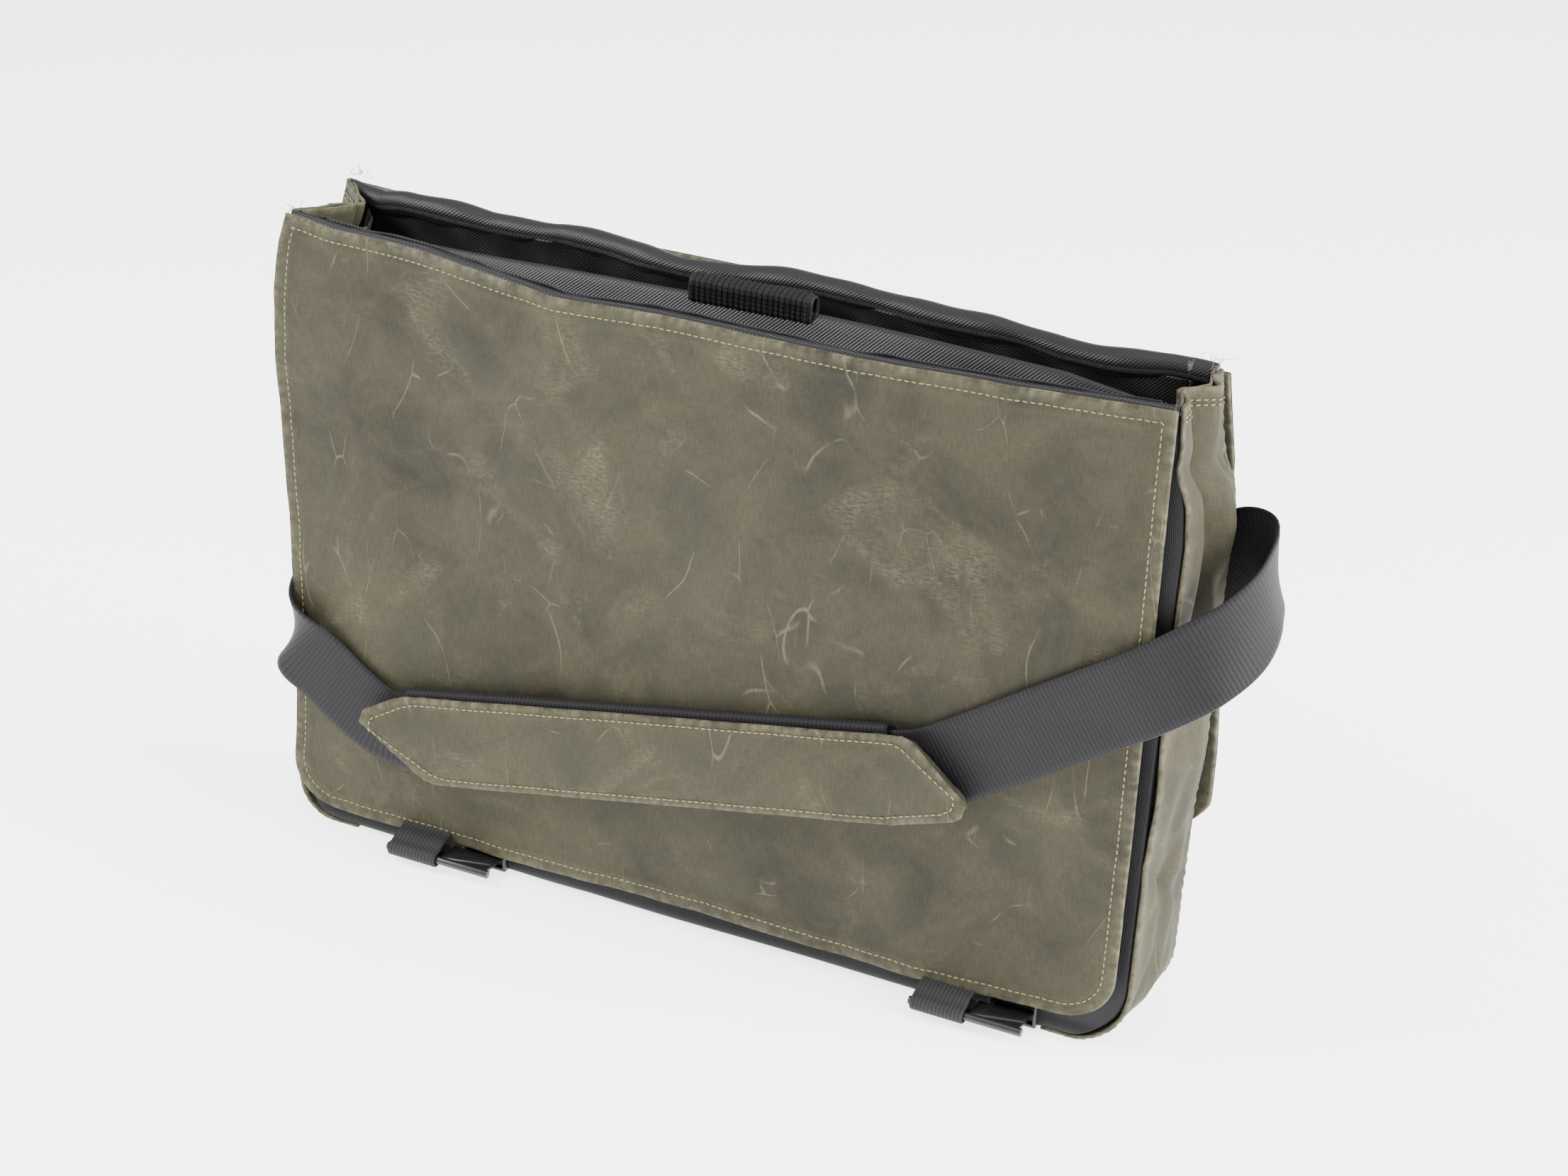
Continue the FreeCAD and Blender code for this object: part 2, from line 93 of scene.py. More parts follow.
def waxedCanvas(name, mid, dark, light, scuff):
    # Waxed cotton canvas, plain woven: matt and mottled, chalky where the wax is cracked or rubbed.
    material, tree, shader = newMaterial(name)
    uv = add(tree, "ShaderNodeUVMap", uv_map="flat")
    wear = add(tree, "ShaderNodeAttribute", attribute_name="edgeWear").outputs["Fac"]
    blotch = add(tree, "ShaderNodeTexNoise", {
        "Vector": uv, "Scale": perMetre(142.9), "Detail": 3.0, "Roughness": 0.5, "Distortion": 0.6})
    blotch = add(tree, "ShaderNodeMapRange", {"Value": blotch, "From Min": 0.32, "From Max": 0.68})
    patch = add(tree, "ShaderNodeTexNoise", {
        "Vector": uv, "Scale": perMetre(38.46), "Detail": 6.0, "Roughness": 0.62, "Distortion": 0.8})
    patch = add(tree, "ShaderNodeMapRange", {"Value": patch, "From Min": 0.34, "From Max": 0.7})
    base = add(tree, "ShaderNodeMix", {0: blotch, 6: dark, 7: mid}, data_type="RGBA").outputs[2]
    half = add(tree, "ShaderNodeMath", {0: patch, 1: 0.55}, operation="MULTIPLY")
    base = add(tree, "ShaderNodeMix", {0: half, 6: base, 7: light}, data_type="RGBA").outputs[2]

    # Chalky rubs: soft clouds broken up by the weave.
    cloud = add(tree, "ShaderNodeTexNoise", {
        "Vector": uv, "Scale": perMetre(71.43), "Detail": 4.0, "Roughness": 0.6, "Distortion": 1.4})
    cloud = add(tree, "ShaderNodeMapRange", {"Value": cloud, "From Min": 0.55, "From Max": 0.72})
    slub = add(tree, "ShaderNodeMapping", {"Vector": uv, "Scale": (perMetre(3.333), perMetre(1.111), 1)})
    slub = add(tree, "ShaderNodeTexNoise", {"Vector": slub, "Scale": 1.0, "Detail": 4.0, "Roughness": 0.7})
    slub = add(tree, "ShaderNodeMapRange", {"Value": slub, "From Min": 0.4, "From Max": 0.7})
    rub = add(tree, "ShaderNodeMath", {0: cloud, 1: slub}, operation="MULTIPLY")
    rub = add(tree, "ShaderNodeMath", {0: rub, 1: 0.38}, operation="MULTIPLY")
    base = add(tree, "ShaderNodeMix", {0: rub, 6: base, 7: scuff}, data_type="RGBA").outputs[2]

    # Scratches: thin pieces of a warped net, kept only here and there.
    scratches = None
    for mesh, spot, angle, shift, width, low in (
        # the net's mesh and the kept spots in millimetres, then the net's turn and shift
        (111.1, 32.26, 0.6, 0.3, 0.006, 0.6),
        (58.82, 25.64, -0.5, 2.1, 0.009, 0.57),
        (32.26, 18.87, 1.1, 5.3, 0.012, 0.56),
    ):
        turned = add(tree, "ShaderNodeMapping", {
            "Vector": uv, "Rotation": (0, 0, angle), "Location": (shift, shift, 0), "Scale": (1, 0.45, 1)})
        warp = add(tree, "ShaderNodeTexNoise", {"Vector": turned, "Scale": perMetre(83.33), "Detail": 2.0})
        warp = warp.outputs["Color"]
        warp = add(tree, "ShaderNodeVectorMath", {0: warp, 1: (0.11, 0.11, 0.11)}, operation="MULTIPLY")
        warp = add(tree, "ShaderNodeVectorMath", {0: turned, 1: warp}, operation="ADD")
        net = add(tree, "ShaderNodeTexVoronoi", {
            "Vector": warp, "Scale": perMetre(mesh)}, feature="DISTANCE_TO_EDGE").outputs["Distance"]
        line = add(tree, "ShaderNodeMapRange", {
            "Value": net, "From Min": 0.0, "From Max": width, "To Min": 1.0, "To Max": 0.0})
        where = add(tree, "ShaderNodeTexNoise", {
            "Vector": turned, "Scale": perMetre(spot), "Detail": 2.0, "Roughness": 0.5})
        where = add(tree, "ShaderNodeMapRange", {"Value": where, "From Min": low, "From Max": low + 0.1})
        some = add(tree, "ShaderNodeMath", {0: line, 1: where}, operation="MULTIPLY")
        if scratches:
            some = add(tree, "ShaderNodeMath", {0: scratches, 1: some}, operation="MAXIMUM")
        scratches = some
    grain = add(tree, "ShaderNodeMapping", {"Vector": uv, "Scale": (perMetre(1.111), perMetre(1.111), 1)})
    grain = add(tree, "ShaderNodeTexNoise", {"Vector": grain, "Scale": 1.0, "Detail": 2.0, "Roughness": 0.55})
    grain = add(tree, "ShaderNodeMapRange", {
        "Value": grain, "From Min": 0.3, "From Max": 0.6, "To Min": 0.35})
    scratches = add(tree, "ShaderNodeMath", {0: scratches, 1: grain}, operation="MULTIPLY")
    faint = add(tree, "ShaderNodeMath", {0: scratches, 1: 0.45}, operation="MULTIPLY")
    base = add(tree, "ShaderNodeMix", {0: faint, 6: base, 7: scuff}, data_type="RGBA").outputs[2]

    # Hems rub pale along their edges.
    worn = add(tree, "ShaderNodeTexNoise", {
        "Vector": uv, "Scale": perMetre(6.25), "Detail": 3.0, "Roughness": 0.55})
    worn = add(tree, "ShaderNodeMapRange", {"Value": worn, "From Min": 0.35, "From Max": 0.65})
    worn = add(tree, "ShaderNodeMath", {0: wear, 1: worn}, operation="MULTIPLY")
    worn = add(tree, "ShaderNodeMath", {0: worn, 1: 0.5}, operation="MULTIPLY")
    base = add(tree, "ShaderNodeMix", {0: worn, 6: base, 7: scuff}, data_type="RGBA").outputs[2]

    # Weave: yarns 0.7 mm apart, about twice the real ones, which are too fine to show.
    # The long upright yarns show more than the cross yarns.
    warpYarn = add(tree, "ShaderNodeMapping", {"Vector": uv, "Scale": (perMetre(0.6667), perMetre(6.25), 1)})
    warpYarn = add(tree, "ShaderNodeTexNoise", {
        "Vector": warpYarn, "Scale": 1.0, "Detail": 2.0, "Roughness": 0.6})
    warpYarn = add(tree, "ShaderNodeMath", {0: warpYarn, 1: 0.62}, operation="MULTIPLY")
    weftYarn = add(tree, "ShaderNodeMapping", {"Vector": uv, "Scale": (perMetre(5), perMetre(0.7692), 1)})
    weftYarn = add(tree, "ShaderNodeTexNoise", {
        "Vector": weftYarn, "Scale": 1.0, "Detail": 2.0, "Roughness": 0.6})
    weftYarn = add(tree, "ShaderNodeMath", {0: weftYarn, 1: 0.38}, operation="MULTIPLY")
    weave = add(tree, "ShaderNodeMath", {0: warpYarn, 1: weftYarn}, operation="ADD")
    tone = add(tree, "ShaderNodeMapRange", {
        "Value": weave, "From Min": 0.32, "From Max": 0.68, "To Min": 0.76, "To Max": 1.2})
    toned = add(tree, "ShaderNodeVectorMath", {0: base, 3: tone}, operation="SCALE")
    tree.links.new(toned.outputs[0], shader.inputs["Base Color"])
    rough = add(tree, "ShaderNodeMath", {0: patch, 1: rub}, operation="ADD")
    rough = add(tree, "ShaderNodeMapRange", {
        "Value": rough, "From Min": 0.0, "From Max": 1.4, "To Min": 0.62, "To Max": 0.85})
    tree.links.new(rough.outputs[0], shader.inputs["Roughness"])
    shader.inputs["Sheen Weight"].default_value = 0.02
    shader.inputs["Sheen Roughness"].default_value = 0.5
    shader.inputs["Specular IOR Level"].default_value = 0.14
    relief = add(tree, "ShaderNodeBump", {"Height": weave, "Strength": 0.35, "Distance": 0.0003})
    crinkle = add(tree, "ShaderNodeTexNoise", {
        "Vector": uv, "Scale": perMetre(16.67), "Detail": 5.0, "Roughness": 0.6})
    relief = add(tree, "ShaderNodeBump", {
        "Height": crinkle, "Strength": 0.25, "Distance": 0.0018, "Normal": relief})
    relief = add(tree, "ShaderNodeBump", {
        "Height": scratches, "Strength": 0.3, "Distance": 0.0004, "Normal": relief})
    tree.links.new(relief.outputs[0], shader.inputs["Normal"])
    return material


def ribbedCloth(name, body, pitch, ribDepth, rough, sheen, slant=0.0, gloss=0.3, mottle=0.25):
    # Woven cloth with ribs a few tenths of a millimetre to two millimetres apart, by its pitch.
    material, tree, shader = newMaterial(name)
    uv = add(tree, "ShaderNodeUVMap", uv_map="flat")
    turned = add(tree, "ShaderNodeMapping", {"Vector": uv, "Rotation": (0, 0, slant)})
    ribs = add(tree, "ShaderNodeTexWave", {
        "Vector": turned, "Distortion": 0.25, "Detail": 1.0,
        "Scale": 100 * math.pi / pitch,  # bands repeat every pi / 10 at a scale of one
    }, wave_type="BANDS", bands_direction="X").outputs["Fac"]
    cross = add(tree, "ShaderNodeMapping", {"Vector": uv, "Scale": (perMetre(1.429), perMetre(0.4167), 1)})
    cross = add(tree, "ShaderNodeTexNoise", {"Vector": cross, "Scale": 1.0, "Detail": 2.0, "Roughness": 0.6})
    cloud = add(tree, "ShaderNodeTexNoise", {
        "Vector": uv, "Scale": perMetre(55.56), "Detail": 4.0, "Roughness": 0.55})
    cloud = add(tree, "ShaderNodeMapRange", {
        "Value": cloud, "From Min": 0.3, "From Max": 0.7, "To Min": 1 - mottle, "To Max": 1 + mottle})
    tone = add(tree, "ShaderNodeMapRange", {"Value": ribs, "To Min": 1 - ribDepth, "To Max": 1 + ribDepth})
    yarn = add(tree, "ShaderNodeMapRange", {
        "Value": cross, "From Min": 0.3, "From Max": 0.7, "To Min": 0.82, "To Max": 1.18})
    tone = add(tree, "ShaderNodeMath", {0: tone, 1: yarn}, operation="MULTIPLY")
    tone = add(tree, "ShaderNodeMath", {0: tone, 1: cloud}, operation="MULTIPLY")
    toned = add(tree, "ShaderNodeVectorMath", {0: body[:3], 3: tone}, operation="SCALE")
    tree.links.new(toned.outputs[0], shader.inputs["Base Color"])
    shader.inputs["Roughness"].default_value = rough
    shader.inputs["Sheen Weight"].default_value = sheen
    shader.inputs["Sheen Roughness"].default_value = 0.35
    shader.inputs["Specular IOR Level"].default_value = gloss
    ribs = add(tree, "ShaderNodeMath", {0: ribs, 1: 0.7}, operation="MULTIPLY")
    cross = add(tree, "ShaderNodeMath", {0: cross, 1: 0.3}, operation="MULTIPLY")
    relief = add(tree, "ShaderNodeMath", {0: ribs, 1: cross}, operation="ADD")
    relief = add(tree, "ShaderNodeBump", {"Height": relief, "Strength": 0.5, "Distance": 0.0003})
    tree.links.new(relief.outputs[0], shader.inputs["Normal"])
    return material


def mouldedNylon(name, body):
    # Injection moulded nylon from a fine spark-eroded mould: dark, with a low uneven gloss.
    material, tree, shader = newMaterial(name)
    place = add(tree, "ShaderNodeTexCoord").outputs["Object"]
    haze = add(tree, "ShaderNodeTexNoise", {
        "Vector": place, "Scale": perMetre(4.545), "Detail": 4.0, "Roughness": 0.55})
    gloss = add(tree, "ShaderNodeMapRange", {
        "Value": haze, "From Min": 0.3, "From Max": 0.7, "To Min": 0.32, "To Max": 0.48})
    tree.links.new(gloss.outputs[0], shader.inputs["Roughness"])
    pale = tuple(c * 1.5 for c in body[:3]) + (1,)
    toned = add(tree, "ShaderNodeMix", {0: haze, 6: body, 7: pale}, data_type="RGBA").outputs[2]
    tree.links.new(toned, shader.inputs["Base Color"])
    grit = add(tree, "ShaderNodeTexNoise", {
        "Vector": place, "Scale": perMetre(1.111), "Detail": 2.0, "Roughness": 0.55})
    relief = add(tree, "ShaderNodeBump", {"Height": grit, "Strength": 0.08, "Distance": 0.0002})
    tree.links.new(relief.outputs[0], shader.inputs["Normal"])
    return material


def spunThread(name, body):
    # Bonded polyester sewing thread, twisted: matt, with a slight change of tone along it.
    material, tree, shader = newMaterial(name)
    place = add(tree, "ShaderNodeTexCoord").outputs["Object"]
    tone = add(tree, "ShaderNodeTexNoise", {
        "Vector": place, "Scale": perMetre(0.5556), "Detail": 2.0, "Roughness": 0.55})
    tone = add(tree, "ShaderNodeMapRange", {
        "Value": tone, "From Min": 0.3, "From Max": 0.7, "To Min": 0.7, "To Max": 1.25})
    toned = add(tree, "ShaderNodeVectorMath", {0: body[:3], 3: tone}, operation="SCALE")
    tree.links.new(toned.outputs[0], shader.inputs["Base Color"])
    shader.inputs["Roughness"].default_value = 0.7
    shader.inputs["Sheen Weight"].default_value = 0.2
    return material


canvas = waxedCanvas(
    "waxedCanvas", mid=colour("#343226"), dark=colour("#232119"),
    light=colour("#474434"), scuff=colour("#77735B"),
)
# Cotton twill: slanting ribs and a soft dark gloss.
twill = ribbedCloth("liningTwill", colour("#111012"), 1.208, 0.12, 0.45, 0.1, slant=0.85, gloss=0.28)
# Coated nylon packcloth: close and flat. Its ribs are about twice their real size, so that they show.
packcloth = ribbedCloth("packcloth", colour("#1F1F20"), 0.748, 0.1, 0.55, 0.03, gloss=0.15)
# Woven nylon webbing: ribs of two millimetres, dull and even in tone.
webbing = ribbedCloth("webbing", colour("#1C1B1D"), 2.094, 0.3, 0.6, 0.03, gloss=0.14, mottle=0.08)
# Knitted elastic: ribs a little closer than the webbing's, and duller.
elastic = ribbedCloth("elastic", colour("#29292A"), 1.848, 0.28, 0.7, 0.03, gloss=0.14, mottle=0.06)
plastic = mouldedNylon("mouldedNylon", colour("#101012"))
# Pressed fibre board: nearly plain, with a faint grain.
board = ribbedCloth("fibreBoard", colour("#2E2E2E"), 1.047, 0.05, 0.7, 0.0)
thread = spunThread("oliveThread", colour("#74713F"))
darkThread = spunThread("charcoalThread", colour("#2C2B2D"))
print("materials made")


# Shapes are worked out in millimetres on flat coordinates, then placed

def smooth(low, high, value):
    t = np.clip((value - low) / (high - low), 0, 1)
    return t * t * (3 - 2 * t)


def ripples(a, b, seed, wavelength, count=7):
    random = np.random.default_rng(seed)
    total = np.zeros(np.shape(a))
    for _ in range(count):
        angle, phase = random.uniform(0, 2 * np.pi, 2)
        pitch = wavelength * random.uniform(0.6, 1.7)
        total = total + np.sin((a * np.cos(angle) + b * np.sin(angle)) * 2 * np.pi / pitch + phase)
    return total / count**0.5


def crease(a, b, start, end, width):
    # A ridge along the segment from start to end, fading at both ends.
    s, e = np.array(start, float), np.array(end, float)
    go = e - s
    t = np.clip(((a - s[0]) * go[0] + (b - s[1]) * go[1]) / (go @ go), 0, 1)
    gap = np.hypot(a - s[0] - go[0] * t, b - s[1] - go[1] * t)
    return np.exp(-((gap / width) ** 2)) * np.sin(np.pi * np.clip(t, 0.02, 0.98)) ** 0.5


def soften(x, y, z, coverSide=False):
    # How the whole bag sags and bulges away from its square shape.
    side = np.clip(np.abs(x) / halfWidth, 0, 1.05) ** 5
    leftOut = np.interp(z, [0, 20, 51, 100, 150, 200, 240, 272, 297, 312], [0, -2, -4, -4, -1, 4, 8, 8, 5, 1])
    rightOut = np.interp(z, [0, 28, 130, 216, 248, 265, 283, 312], [0, 8, 10, 12, 13, 11, 4, 1])
    rightOut = rightOut * np.interp(y, [-24, 0, 24], [0.7, 1.1, 1.0])
    if coverSide:
        rightOut = rightOut * 0
    outX = x + np.where(x > 0, rightOut, -leftOut) * side
    bow = np.interp(
        x,
        [-215, -189, -144, -99, -71, -55, -21, 73, 145, 190, 215],
        [0, 0.25, 0.32, 0.75, 1.0, 0.95, 0.75, 0.72, 0.42, 0.15, 0],
    )
    front, back = smooth(6, -24, y), smooth(-4, 24, y)
    up = smooth(120, 310, z)
    outY = y - 12.0 * bow * up * front - 2.0 * front * np.sin(np.pi * np.clip(z / 310, 0, 1)) * (1 - side)
    wave = np.interp(
        x,
        [-215, -195, -184, -140, -102, -65, 5, 58, 113, 144, 192, 215],
        [2, -2, 0, -2, 1, -1, 1, 3, 1, -1, 2, 0],
    )
    outZ = z - 6.5 * bow * smooth(220, 310, z) * front + wave * 0.8 * smooth(260, 312, z) * back
    outY = outY + (1.6 * np.sin(x / 31.0) + 1.2 * np.sin(x / 17.0 + 1)) * smooth(240, 312, z) * back
    # The ends pinch in where they have no stiffening.
    fold = np.clip(1 - np.abs(y) / 22, 0, 1) ** 0.8
    pinch = 17 * fold * smooth(200, 312, z) * (np.abs(x) > 200)
    zigzag = np.interp(y, [-24, -17, -5, 7, 19, 24], [0, -1, -6, 2, -2, -2]) * smooth(235, 312, z)
    outX = outX + np.where(x < 0, pinch, 0) + np.where(x > 200, zigzag, 0)
    return np.stack([outX, outY, outZ], -1)


def steps(length, step, edge=(0, 0.9, 2.2, 4.0, 6.0, 7.2, 8.4, 10.0)):
    edge = np.array(edge)
    inner = np.linspace(edge[-1], length - edge[-1], max(3, int((length - 2 * edge[-1]) / step) + 1))
    return np.concatenate([edge[:-1], inner, length - edge[-2::-1]])


def panelGrid(x0, x1, z0, z1, corner=0.0, step=3.0, edge=(0, 0.9, 2.2, 4.0, 6.0, 7.2, 8.4, 10.0)):
    us = steps(x1 - x0, step, edge) / (x1 - x0) * 2 - 1
    vs = z0 + steps(z1 - z0, step, edge)
    mid, half = (x0 + x1) / 2, (x1 - x0) / 2
    if corner:
        more = z0 + np.array([13, 16, 19, 22]) * corner / 25
        vs = np.unique(np.round(np.concatenate([vs, more]), 2))
    low = np.clip(corner - (vs - z0), 0, corner)
    reach = half - corner + np.sqrt(np.clip(corner**2 - low**2, 0, None))
    u, r = np.meshgrid(us, reach)
    v = np.meshgrid(us, vs)[1]
    return mid + u * r, v


def insetPath(x0, x1, z0, z1, corner, inset, top=True, step=1.5):
    # A loop of flat points inside the panel's edge, from top left round the bottom.
    r = max(corner - inset, 0.1)
    left, right, low, high = x0 + inset, x1 - inset, z0 + inset, z1 - inset
    turn = np.linspace(0, np.pi / 2, 12)
    pts = [(left, high)]
    pts += [(left + r - r * math.cos(a), low + r - r * math.sin(a)) for a in turn]
    pts += [(right - r + r * math.sin(a), low + r - r * math.cos(a)) for a in turn]
    pts += [(right, high)]
    if top:
        pts += [(left, high)]
    return densify(pts, step)


def densify(points, step):
    out = []
    for p, q in zip(points, points[1:]):
        p, q = np.array(p, float), np.array(q, float)
        n = max(1, int(np.linalg.norm(q - p) / step))
        out += [p + (q - p) * i / n for i in range(n)]
    return np.array(out + [np.array(points[-1], float)])


def normals(place, a, b, e=0.6):
    da = place(a + e, b) - place(a - e, b)
    db = place(a, b + e) - place(a, b - e)
    n = np.cross(da, db)
    return n / np.maximum(np.linalg.norm(n, axis=-1, keepdims=True), 1e-9)


def meshObject(name, verts, faces, material, uv=None, wear=None, smoothShade=True):
    mesh = bpy.data.meshes.new(name)
    mesh.from_pydata((np.asarray(verts) * mm).tolist(), [], [tuple(int(i) for i in f) for f in faces])
    mesh.materials.append(material)
    if uv is not None:
        layer = mesh.uv_layers.new(name="flat")
        index = np.zeros(len(mesh.loops), int)
        mesh.loops.foreach_get("vertex_index", index)
        layer.data.foreach_set("uv", (np.asarray(uv)[index] * mm).ravel().astype(np.float32))
    if wear is not None:
        layer = mesh.attributes.new("edgeWear", "FLOAT", "POINT")
        layer.data.foreach_set("value", np.asarray(wear, np.float32))
    if smoothShade:
        mesh.polygons.foreach_set("use_smooth", [True] * len(mesh.polygons))
    mesh.update()
    obj = bpy.data.objects.new(name, mesh)
    bpy.context.collection.objects.link(obj)
    return obj


def fixNormals(obj):
    work = bmesh.new()
    work.from_mesh(obj.data)
    bmesh.ops.recalc_face_normals(work, faces=work.faces)
    work.to_mesh(obj.data)
    work.free()


def slab(name, a, b, place, thickness, material, hem=None, relief=None, shift=(0, 0)):
    # A sheet with two faces and a rounded rim. a runs to the right, b upwards, seen from outside.
    rows, cols = a.shape
    mid = place(a, b)
    n = normals(place, a, b)
    index = np.arange(rows * cols).reshape(rows, cols)
    rim = np.concatenate([index[0, :-1], index[:-1, -1], index[-1, :0:-1], index[:0:-1, 0]])
    ri, ci = np.indices((rows, cols))
    inner = index[np.clip(ri, 1, rows - 2), np.clip(ci, 1, cols - 2)]
    flat = mid.reshape(-1, 3)
    edge = flat[rim]
    gap = np.full(rows * cols, 99.0)
    for start in range(0, rows * cols, 4000):
        block = flat[start : start + 4000, None, :] - edge[None, ::2, :]
        gap[start : start + 4000] = np.sqrt((block**2).sum(-1).min(1))
    gap = gap.reshape(rows, cols)
    front = np.full((rows, cols), thickness / 2)
    back = np.full((rows, cols), thickness / 2)
    if hem:
        lift = hem["rise"] * (1 - smooth(hem["width"] - 1.2, hem["width"] + 1.2, gap))
        dimple = hem["rise"] * 0.9 * np.exp(-(((gap - hem["stitch"]) / 1.3) ** 2))
        pucker = 0.25 * np.sin((a + b) * 2 * np.pi / 7.3) * np.exp(-(((gap - hem["stitch"]) / 4) ** 2))
        front = front + lift - dimple + pucker * hem["rise"]
    if relief is not None:
        extra = relief(a, b)
        mid = mid + n * extra[..., None]
    top = (mid + n * front[..., None]).reshape(-1, 3)
    low = (mid - n * back[..., None]).reshape(-1, 3)
    flat = mid.reshape(-1, 3)
    out = flat[rim] - flat[inner.ravel()[rim]]
    out = out / np.maximum(np.linalg.norm(out, axis=1, keepdims=True), 1e-9)
    rimMid = (top[rim] + low[rim]) / 2 + out * thickness * 0.42
    count = rows * cols
    q = np.stack([index[:-1, :-1], index[:-1, 1:], index[1:, 1:], index[1:, :-1]], -1).reshape(-1, 4)
    faces = [tuple(f) for f in q] + [tuple(f[::-1] + count) for f in q]
    m = len(rim)
    for i in range(m):
        j = (i + 1) % m
        p, r = rim[i], rim[j]
        faces.append((r, p, 2 * count + i, 2 * count + j))
        faces.append((2 * count + j, 2 * count + i, p + count, r + count))
    uv = np.stack([a.ravel() + shift[0], b.ravel() + shift[1]], -1)
    uv = np.concatenate([uv, uv + 7.0, uv[rim]])
    wearMid = np.exp(-gap.ravel() / 2.5)
    wear = np.concatenate([wearMid, wearMid, np.ones(m)])
    obj = meshObject(name, np.concatenate([top, low, rimMid]), faces, material, uv, wear)
    fixNormals(obj)
    return obj


def pathOn(place, path, lift):
    a, b = path[:, 0], path[:, 1]
    return place(a, b) + normals(place, a, b) * lift


def roundedBox(name, low, high, bevel, material):
    x0, y0, z0 = low
    x1, y1, z1 = high
    verts = [(x, y, z) for x in (x0, x1) for y in (y0, y1) for z in (z0, z1)]
    faces = [(0, 1, 3, 2), (4, 6, 7, 5), (0, 4, 5, 1), (2, 3, 7, 6), (0, 2, 6, 4), (1, 5, 7, 3)]
    return beveled(meshObject(name, verts, faces, material), bevel)


def applyAll(obj):
    bpy.context.view_layer.update()
    graph = bpy.context.evaluated_depsgraph_get()
    done = bpy.data.meshes.new_from_object(obj.evaluated_get(graph), depsgraph=graph)
    obj.modifiers.clear()
    old = obj.data
    obj.data = done
    bpy.data.meshes.remove(old)
    return obj


def beveled(obj, width, segments=3):
    rounding = obj.modifiers.new("round", "BEVEL")
    rounding.width, rounding.segments = width * mm, segments
    rounding.limit_method, rounding.angle_limit = "ANGLE", 0.5
    rounding.harden_normals = False
    applyAll(obj)
    obj.data.polygons.foreach_set("use_smooth", [True] * len(obj.data.polygons))
    return obj


def fromFrame(name, node, material, bevel):
    # A softer-edged twin of a rigid part.
    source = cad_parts[node]
    mesh = source.data.copy()
    mesh.materials.clear()
    mesh.materials.append(material)
    obj = bpy.data.objects.new(name, mesh)
    bpy.context.collection.objects.link(obj)
    weld = obj.modifiers.new("weld", "WELD")
    weld.merge_threshold = 0.02 * mm
    obj.modifiers.new("planar", "DECIMATE").decimate_type = "DISSOLVE"
    applyAll(obj)
    return beveled(obj, bevel, 2)


def box(node):
    low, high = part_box(node)
    return np.array(low) / mm, np.array(high) / mm


# Repeated pieces: stitches, ribs and loose threads

def repeatTree(name, segments, rings):
    tree = bpy.data.node_groups.new(name, "GeometryNodeTree")
    face = tree.interface
    face.new_socket("Geometry", in_out="INPUT", socket_type="NodeSocketGeometry")
    sockets = {}
    for label, value in (("spacing", 3.2), ("length", 2.2), ("radius", 0.35), ("tilt", 0.12)):
        socket = face.new_socket(label, in_out="INPUT", socket_type="NodeSocketFloat")
        socket.default_value = value
        sockets[label] = socket.identifier
    socket = face.new_socket("material", in_out="INPUT", socket_type="NodeSocketMaterial")
    sockets["material"] = socket.identifier
    face.new_socket("Geometry", in_out="OUTPUT", socket_type="NodeSocketGeometry")
    start = add(tree, "NodeGroupInput")
    curve = add(tree, "GeometryNodeMeshToCurve", {"Mesh": start.outputs["Geometry"]})
    spaced = add(tree, "GeometryNodeResampleCurve", {"Curve": curve}, mode="LENGTH")
    tree.links.new(start.outputs["spacing"], spaced.inputs["Length"])
    bead = add(tree, "GeometryNodeMeshUVSphere", {"Segments": segments, "Rings": rings, "Radius": 1.0})
    along = add(tree, "GeometryNodeInputTangent")
    turned = add(tree, "FunctionNodeAlignRotationToVector", {"Vector": along}, axis="Z")
    tilt = start.outputs["tilt"]
    less = add(tree, "ShaderNodeMath", {0: tilt, 1: -1.0}, operation="MULTIPLY")
    least = add(tree, "ShaderNodeCombineXYZ", {0: less, 1: less, 2: less})
    most = add(tree, "ShaderNodeCombineXYZ", {0: tilt, 1: tilt, 2: tilt})
    shake = add(tree, "FunctionNodeRandomValue", {0: least, 1: most, "Seed": 11}, data_type="FLOAT_VECTOR")
    both = add(tree, "FunctionNodeRotateRotation", {0: turned, 1: shake})
    half = add(tree, "ShaderNodeMath", {0: start.outputs["length"], 1: 0.5}, operation="MULTIPLY")
    radius = start.outputs["radius"]
    size = add(tree, "ShaderNodeCombineXYZ", {0: radius, 1: radius, 2: half})
    copies = add(tree, "GeometryNodeInstanceOnPoints", {
        "Points": spaced, "Instance": bead, "Rotation": both, "Scale": size})
    real = add(tree, "GeometryNodeRealizeInstances", {0: copies})
    dressed = add(tree, "GeometryNodeSetMaterial", {"Geometry": real, "Material": start.outputs["material"]})
    add(tree, "NodeGroupOutput", {0: dressed})
    return tree, sockets


stitchTree, stitchSockets = repeatTree("stitchRun", 8, 5)


